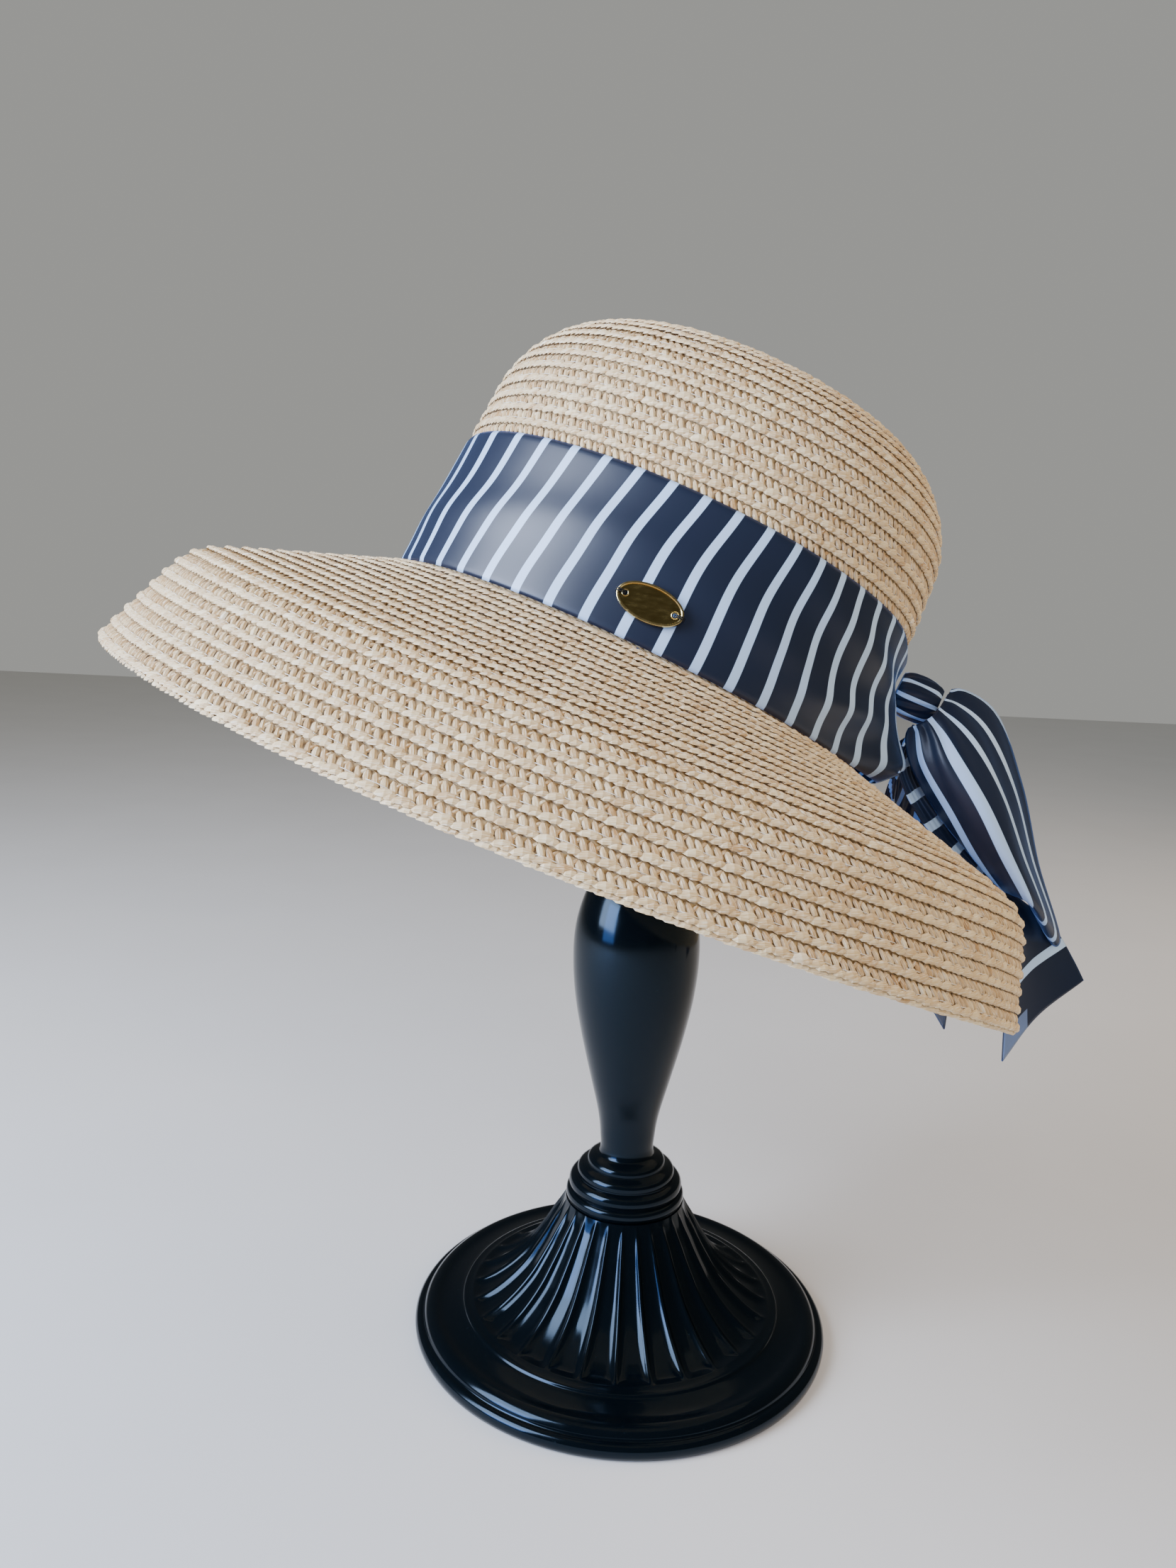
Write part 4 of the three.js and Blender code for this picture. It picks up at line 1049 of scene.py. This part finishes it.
def plaque_spots(flat):
    """Where points of the flat plaque lie in the room, in millimetres."""
    offset = flat[:, :1] * PLAQUE_ALONG + flat[:, 1:2] * PLAQUE_UP + flat[:, 2:] * PLAQUE_OUT
    return to_room(PLAQUE_AT + offset)

def on_plaque(piece):
    """Moves a mesh made flat, in millimetres, to the plaque's place. Its object stays at the origin."""
    mesh = piece.data
    flat = np.zeros(len(mesh.vertices) * 3)
    mesh.vertices.foreach_get("co", flat)
    mesh.vertices.foreach_set("co", (plaque_spots(flat.reshape(-1, 3)) * MM).ravel())
    mesh.update()

def pick(piece):
    """Selects one piece alone and makes it the active one."""
    bpy.ops.object.select_all(action="DESELECT")
    piece.select_set(True)
    bpy.context.view_layer.objects.active = piece

def edit(piece, work):
    """Runs modelling steps on a piece in edit mode."""
    pick(piece)
    bpy.ops.object.mode_set(mode="EDIT")
    work()
    bpy.ops.object.mode_set(mode="OBJECT")

def smooth_by_angle(piece, angle):
    pick(piece)
    bpy.ops.object.shade_smooth_by_angle(angle=angle)

def cut_out(piece, tool):
    """Cuts a tool's shape out of a piece, and removes the tool."""
    pick(piece)
    modifier = piece.modifiers.new("cut", "BOOLEAN")
    modifier.object = tool
    modifier.operation = "DIFFERENCE"
    modifier.solver = "EXACT"
    bpy.ops.object.modifier_apply(modifier=modifier.name)
    bpy.data.objects.remove(tool)

def oval_plate():
    bpy.ops.mesh.primitive_circle_add(vertices=96, radius=1, fill_type="NGON")
    plate = bpy.context.object
    plate.name = plate.data.name = "oval_plate"
    half_length, half_width = PLAQUE_LENGTH / 2, PLAQUE_WIDTH / 2

    def shape():
        bpy.ops.mesh.select_all(action="SELECT")
        bpy.ops.transform.resize(value=(half_length, half_width, 1), center_override=(0, 0, 0))
        bpy.ops.mesh.extrude_region_move(TRANSFORM_OT_translate={"value": (0, 0, PLAQUE_THICKNESS)})
        top = PLAQUE_THICKNESS + PLAQUE_RIM_HEIGHT
        rim = [(0.12, top - 0.12), (0.35, top), (0.75, top), (0.98, top - 0.16)]
        rim.append((PLAQUE_RIM_WIDTH, PLAQUE_THICKNESS))
        inset, height = 0, PLAQUE_THICKNESS
        for next_inset, next_height in rim:
            bpy.ops.mesh.extrude_region_move(TRANSFORM_OT_translate={"value": (0, 0, next_height - height)})
            bpy.ops.transform.resize(
                value=(
                    (half_length - next_inset) / (half_length - inset),
                    (half_width - next_inset) / (half_width - inset),
                    1,
                ),
                center_override=(0, 0, 0),
            )
            inset, height = next_inset, next_height

    edit(plate, shape)
    for end in (-1, 1):
        bpy.ops.mesh.primitive_cylinder_add(
            vertices=32, radius=HOLE_RADIUS * 1.1, depth=8, location=(end * (half_length - HOLE_INSET), 0, 0)
        )
        cut_out(plate, bpy.context.object)
    plate.data.shade_smooth()
    smooth_by_angle(plate, rad(32))
    plate.data.materials.append(brass)
    plate.data.materials.append(brass_face)
    for face in plate.data.polygons:
        x, y, _ = face.center
        inside = (x / (half_length - FACE_INSET)) ** 2 + (y / (half_width - FACE_INSET)) ** 2 < 1
        face.material_index = int(inside and face.normal.z > 0.9)
    on_plaque(plate)
    finish_piece(plate, None, ["oval_plaque"])
    for end, label in ((-1, "left"), (1, "right")):
        bpy.ops.mesh.primitive_torus_add(
            major_radius=HOLE_RADIUS * 1.45, minor_radius=0.3, major_segments=40, minor_segments=12,
            location=(end * (half_length - HOLE_INSET), 0, PLAQUE_THICKNESS + 0.05),
        )
        ring = bpy.context.object
        ring.name = ring.data.name = f"hole_ring_{label}"
        bpy.ops.object.transform_apply(location=True, rotation=True, scale=True)
        ring.data.shade_smooth()
        on_plaque(ring)
        finish_piece(ring, brass, ["oval_plaque"])
        tie_thread(end, label)


def tie_thread(end, label):
    """Two strands of thread out of the hole and over the plate's end."""
    hole, edge = PLAQUE_LENGTH / 2 - HOLE_INSET, PLAQUE_LENGTH / 2
    # (along the plaque, out from it)
    path = [(hole, 0.2), (hole + 0.2, 1.3), (hole + 1.2, 1.75), (edge - 0.6, 1.8), (edge + 0.25, 1.1)]
    path.append((edge + 0.3, -0.6))
    around = (np.arange(TIE_SIDES) / TIE_SIDES * TURN)[None, :, None]
    points, quads = [], []
    for sway in (-THREAD_SWAY, THREAD_SWAY):
        line = np.array([(end * x, sway * (0.6 + x / edge), z) for x, z in path])
        u = np.linspace(0, 1, 25)
        line = np.stack([smooth_values(line[:, c], u) for c in range(3)], 1)
        run = np.gradient(line, axis=0)
        run /= np.linalg.norm(run, axis=1, keepdims=True)
        side = np.tile([0, 1.0, 0], (len(line), 1))
        up = np.cross(run, side)
        tube = line[:, None] + TIE_RADIUS * (side[:, None] * np.cos(around) + up[:, None] * np.sin(around))
        start = len(points) * len(line) * TIE_SIDES
        points.append(tube.reshape(-1, 3))
        for i in range(len(line) - 1):
            near, far = start + i * TIE_SIDES, start + (i + 1) * TIE_SIDES
            for j in range(TIE_SIDES):
                k = (j + 1) % TIE_SIDES
                quads.append((near + j, near + k, far + k, far + j))
    piece = mesh_piece(f"plate_thread_{label}", plaque_spots(np.concatenate(points)), quads)
    finish_piece(piece, black_thread, ["oval_plaque"])

oval_plate()

# Stand

FOOT_RADIUS, RIM_WIDTH, RIM_HEIGHT = 91.3, 25.3, 14
BASE_HEIGHT, COLLAR_RADIUS, COLLAR_HEIGHT = 60, 26, 21
FLUTES, FLUTE_DEPTH = 28, 2.2
NECK_RADIUS, BELLY_RADIUS, BALUSTER_HEIGHT, STEM_RADIUS = 11.3, 27.1, 134, 13
CAP_RADIUS, CAP_DOME, CAP_LIP, CAP_SOCKET = 50, 60, 4, 10
FLUTE_RADIUS = FOOT_RADIUS - RIM_WIDTH

# (out, up) as shares, from the underside up to the flutes; the sharp corners are given as they are
RIM_PROFILE = [
    (0.86, 0), (0.93, 0.01), (0.98, 0.07), (1, 0.17), (1.005, 0.26), (0.998, 0.35), (0.965, 0.44),
    (0.918, 0.482), (0.9, 0.483), (0.872, 0.476), (0.856, 0.5), (0.85, 0.55), (0.835, 0.61),
    (0.81, 0.665), (0.775, 0.715), (0.73, 0.752), (0.68, 0.772), (0.63, 0.766), (0.58, 0.75),
    (0.535, 0.74), (0.45, 0.752), (0.36, 0.782), (0.26, 0.825), (0.185, 0.866), (0.172, 0.885),
    (0.168, 0.92), (0.15, 0.945), (0.12, 0.95), (0.07, 0.955), (0.02, 0.985),
]
# (out, up, depth) as shares along the fluted rise
FLUTE_PROFILE = [
    (1, 0, 0), (0.97, 0.008, 0.3), (0.94, 0.018, 0.62), (0.9, 0.035, 0.85), (0.84, 0.065, 0.95),
    (0.76, 0.11, 1), (0.65, 0.185, 1), (0.54, 0.275, 1), (0.425, 0.39, 1), (0.325, 0.52, 0.92),
    (0.225, 0.66, 0.8), (0.15, 0.775, 0.66), (0.075, 0.88, 0.45), (0.03, 0.95, 0.2), (0, 1, 0),
]
COLLAR_PROFILE = [
    (0.96, 0), (0.99, 0.03), (1, 0.1), (0.99, 0.17), (0.94, 0.215), (0.885, 0.225), (0.885, 0.25),
    (0.915, 0.29), (0.925, 0.35), (0.905, 0.42), (0.86, 0.47), (0.79, 0.5), (0.68, 0.515), (0.67, 0.54),
    (0.69, 0.59), (0.68, 0.64), (0.64, 0.69), (0.56, 0.725), (0.42, 0.745), (0.39, 0.765), (0.395, 0.82),
    (0.37, 0.88), (0.3, 0.92), (0.18, 0.95), (0.08, 0.97), (0.03, 1),
]
BALUSTER_PROFILE = [
    (0.02, 0.03), (0.12, 0.13), (0.41, 0.27), (0.7, 0.41), (0.91, 0.54), (1, 0.66), (0.96, 0.77),
    (0.74, 0.87), (0.42, 0.94), (0.1, 0.985),
]


def turned(name, profile, steps):
    """Spins a profile of (radius, height) about the stand's axis, as on a lathe."""
    mesh = bpy.data.meshes.new(name)
    edges = [(i, i + 1) for i in range(len(profile) - 1)]
    mesh.from_pydata([(r * MM, 0, z * MM) for r, z in profile], edges, [])
    piece = bpy.data.objects.new(name, mesh)
    bpy.context.scene.collection.objects.link(piece)

    def shape():
        bpy.ops.mesh.select_all(action="SELECT")
        bpy.ops.mesh.spin(steps=steps, angle=TURN, center=(0, 0, 0), axis=(0, 0, 1))
        bpy.ops.mesh.select_all(action="SELECT")
        bpy.ops.mesh.remove_doubles(threshold=1e-6)
        bpy.ops.mesh.normals_make_consistent(inside=False)

    edit(piece, shape)
    smooth_by_angle(piece, rad(50))
    return piece


def smooth_profile(rows, count):
    u = np.linspace(0, 1, count)
    return np.stack([smooth_values([row[c] for row in rows], u) for c in range(len(rows[0]))], 1)


def stand_foot():
    rim = [(FLUTE_RADIUS + RIM_WIDTH * out, RIM_HEIGHT * up) for out, up in RIM_PROFILE]
    rise = smooth_profile(FLUTE_PROFILE, 61)
    wall = [
        (COLLAR_RADIUS + (FLUTE_RADIUS - COLLAR_RADIUS) * out, RIM_HEIGHT + (BASE_HEIGHT - RIM_HEIGHT) * up)
        for out, up, _ in rise
    ]
    foot = turned("stand_foot", [(0, 0), *rim, *wall, (0, BASE_HEIGHT)], FLUTES * 14)
    # Rounded flutes are pressed into the rise, deepest in the middle of each
    spots = np.zeros(len(foot.data.vertices) * 3)
    foot.data.vertices.foreach_get("co", spots)
    spots = spots.reshape(-1, 3) / MM
    radius = np.hypot(spots[:, 0], spots[:, 1])
    angle = np.arctan2(spots[:, 1], spots[:, 0])
    heights = np.array([z for _, z in wall])
    depths = np.interp(spots[:, 2], heights, rise[:, 2])
    above = spots[:, 2] >= RIM_HEIGHT - 1e-3
    fluted = above & (radius > COLLAR_RADIUS - 0.5) & (radius < FLUTE_RADIUS + 0.01)
    across = np.abs(np.sin(FLUTES * angle / 2))
    cut = np.where(fluted, FLUTE_DEPTH * depths * (1 - (1 - across) ** 2.2) * 1.05, 0)
    scale = 1 - cut * math.sqrt(0.5) / np.maximum(radius, 1)
    spots[:, :2] *= scale[:, None]
    spots[:, 2] -= cut * math.sqrt(0.5)
    foot.data.vertices.foreach_set("co", (spots * MM).ravel())
    foot.data.update()
    finish_piece(foot, lacquer, ["stand_base"])


def dome_centre():
    axis = HAT_AXES[:, 2]
    level = float(axis @ HAT_AT) + CROWN_SIDE + SHOULDER - STRAW_WALL
    return (level - CAP_DOME - SEAT_GAP) / axis[2]


CAP_RIM = dome_centre() + math.sqrt(CAP_DOME ** 2 - CAP_RADIUS ** 2)
CAP_BOTTOM = CAP_RIM - CAP_LIP


def stand_post():
    foot = BASE_HEIGHT + SEAT_GAP
    neck = foot + COLLAR_HEIGHT
    collar = [
        (lerp(NECK_RADIUS, COLLAR_RADIUS, out), foot + COLLAR_HEIGHT * up) for out, up in COLLAR_PROFILE
    ]
    vase = smooth_profile(BALUSTER_PROFILE, 60)
    vase = [(lerp(NECK_RADIUS, BELLY_RADIUS, out), neck + BALUSTER_HEIGHT * up) for out, up in vase]
    top = CAP_BOTTOM + CAP_SOCKET - SEAT_GAP
    stem = [(STEM_RADIUS, neck + BALUSTER_HEIGHT), (STEM_RADIUS, top)]
    post = turned("stand_post", [(0, foot), *collar, *vase, *stem, (0, top)], 128)
    finish_piece(post, lacquer, ["stand_column"])


def stand_dome():
    centre = dome_centre()
    edge = math.asin(CAP_RADIUS / CAP_DOME)
    angles = [edge * (1 - i / 24) for i in range(24)]
    dome = [(CAP_DOME * math.sin(a), centre + CAP_DOME * math.cos(a)) for a in angles]
    socket = STEM_RADIUS + SEAT_GAP
    lip = [(CAP_RADIUS - 1, CAP_BOTTOM), (CAP_RADIUS - 0.3, CAP_BOTTOM + 0.3), (CAP_RADIUS, CAP_BOTTOM + 1)]
    ceiling = CAP_BOTTOM + CAP_SOCKET
    profile = [(0, ceiling), (socket, ceiling), (socket, CAP_BOTTOM), *lip, *dome, (0, centre + CAP_DOME)]
    cap = turned("stand_dome", profile, 128)
    finish_piece(cap, lacquer, ["stand_cap"])


stand_foot()
stand_post()
stand_dome()

# Floor and light


def floor():
    bpy.ops.mesh.primitive_grid_add(x_subdivisions=4, y_subdivisions=4, size=6, location=(0, 0, 0))
    ground = bpy.context.object
    ground.name = "floor"
    m, shader = new_material("pale_floor")
    place = node(m, "TexCoord", out="Object")
    mottle = node(m, "TexNoise", {"Vector": place, "Scale": 9.0, "Detail": 3.0})
    colour = node(
        m, "Mix", {SHARE: mottle, LOW: linear("#cccac6"), HIGH: linear("#d2d0cc")}, MIXED, data_type="RGBA"
    )
    fill(m, shader, {"Base Color": colour, "Roughness": 0.75})
    ground.data.materials.append(m)


def area_light(name, at, aim, size, power, code, reflected=True, shadowed=True):
    """A soft rectangle of light. One that isn't reflected doesn't show in glossy things."""
    lamp = bpy.data.lights.new(name, "AREA")
    lamp.shape = "RECTANGLE"
    lamp.size, lamp.size_y = size
    lamp.energy = power
    lamp.color = linear(code)[:3]
    lamp.use_shadow = shadowed
    holder = bpy.data.objects.new(name, lamp)
    holder.location = at
    holder.visible_glossy = reflected
    holder.rotation_euler = (Vector(aim) - Vector(at)).to_track_quat("-Z", "Y").to_euler()
    bpy.context.scene.collection.objects.link(holder)


floor()
area_light("window", (-0.95, -0.55, 0.75), (0, 0, 0.25), (0.8, 1.0), 46, "#dce8ff")
area_light("window_low", (-0.8, -0.62, 0.36), (0.1, -0.06, 0.26), (0.4, 0.5), 6, "#6fa8ff", True, False)
area_light("room_right", (1.1, 0.2, 0.9), (0, 0, 0.25), (1.0, 1.0), 11, "#ffe3c0", False)
area_light("room_front", (0.3, -1.3, 1.1), (0, 0, 0.25), (1.2, 0.9), 10, "#fff2e2", False)
world = bpy.data.worlds.new("studio")
world.use_nodes = True
# Glossy things reflect a darker room than the one that lights the hat
ROOM_LIGHT, ROOM_REFLECTED = 0.6, 0.2
sky = world.node_tree.nodes["Background"]
gloss = node(world, "LightPath", out="Is Glossy Ray")
bright = node(world, "MapRange", {"Value": gloss, 3: ROOM_LIGHT, 4: ROOM_REFLECTED})
fill(world, sky, {"Color": linear("#c6c6c2"), "Strength": bright})
bpy.context.scene.world = world
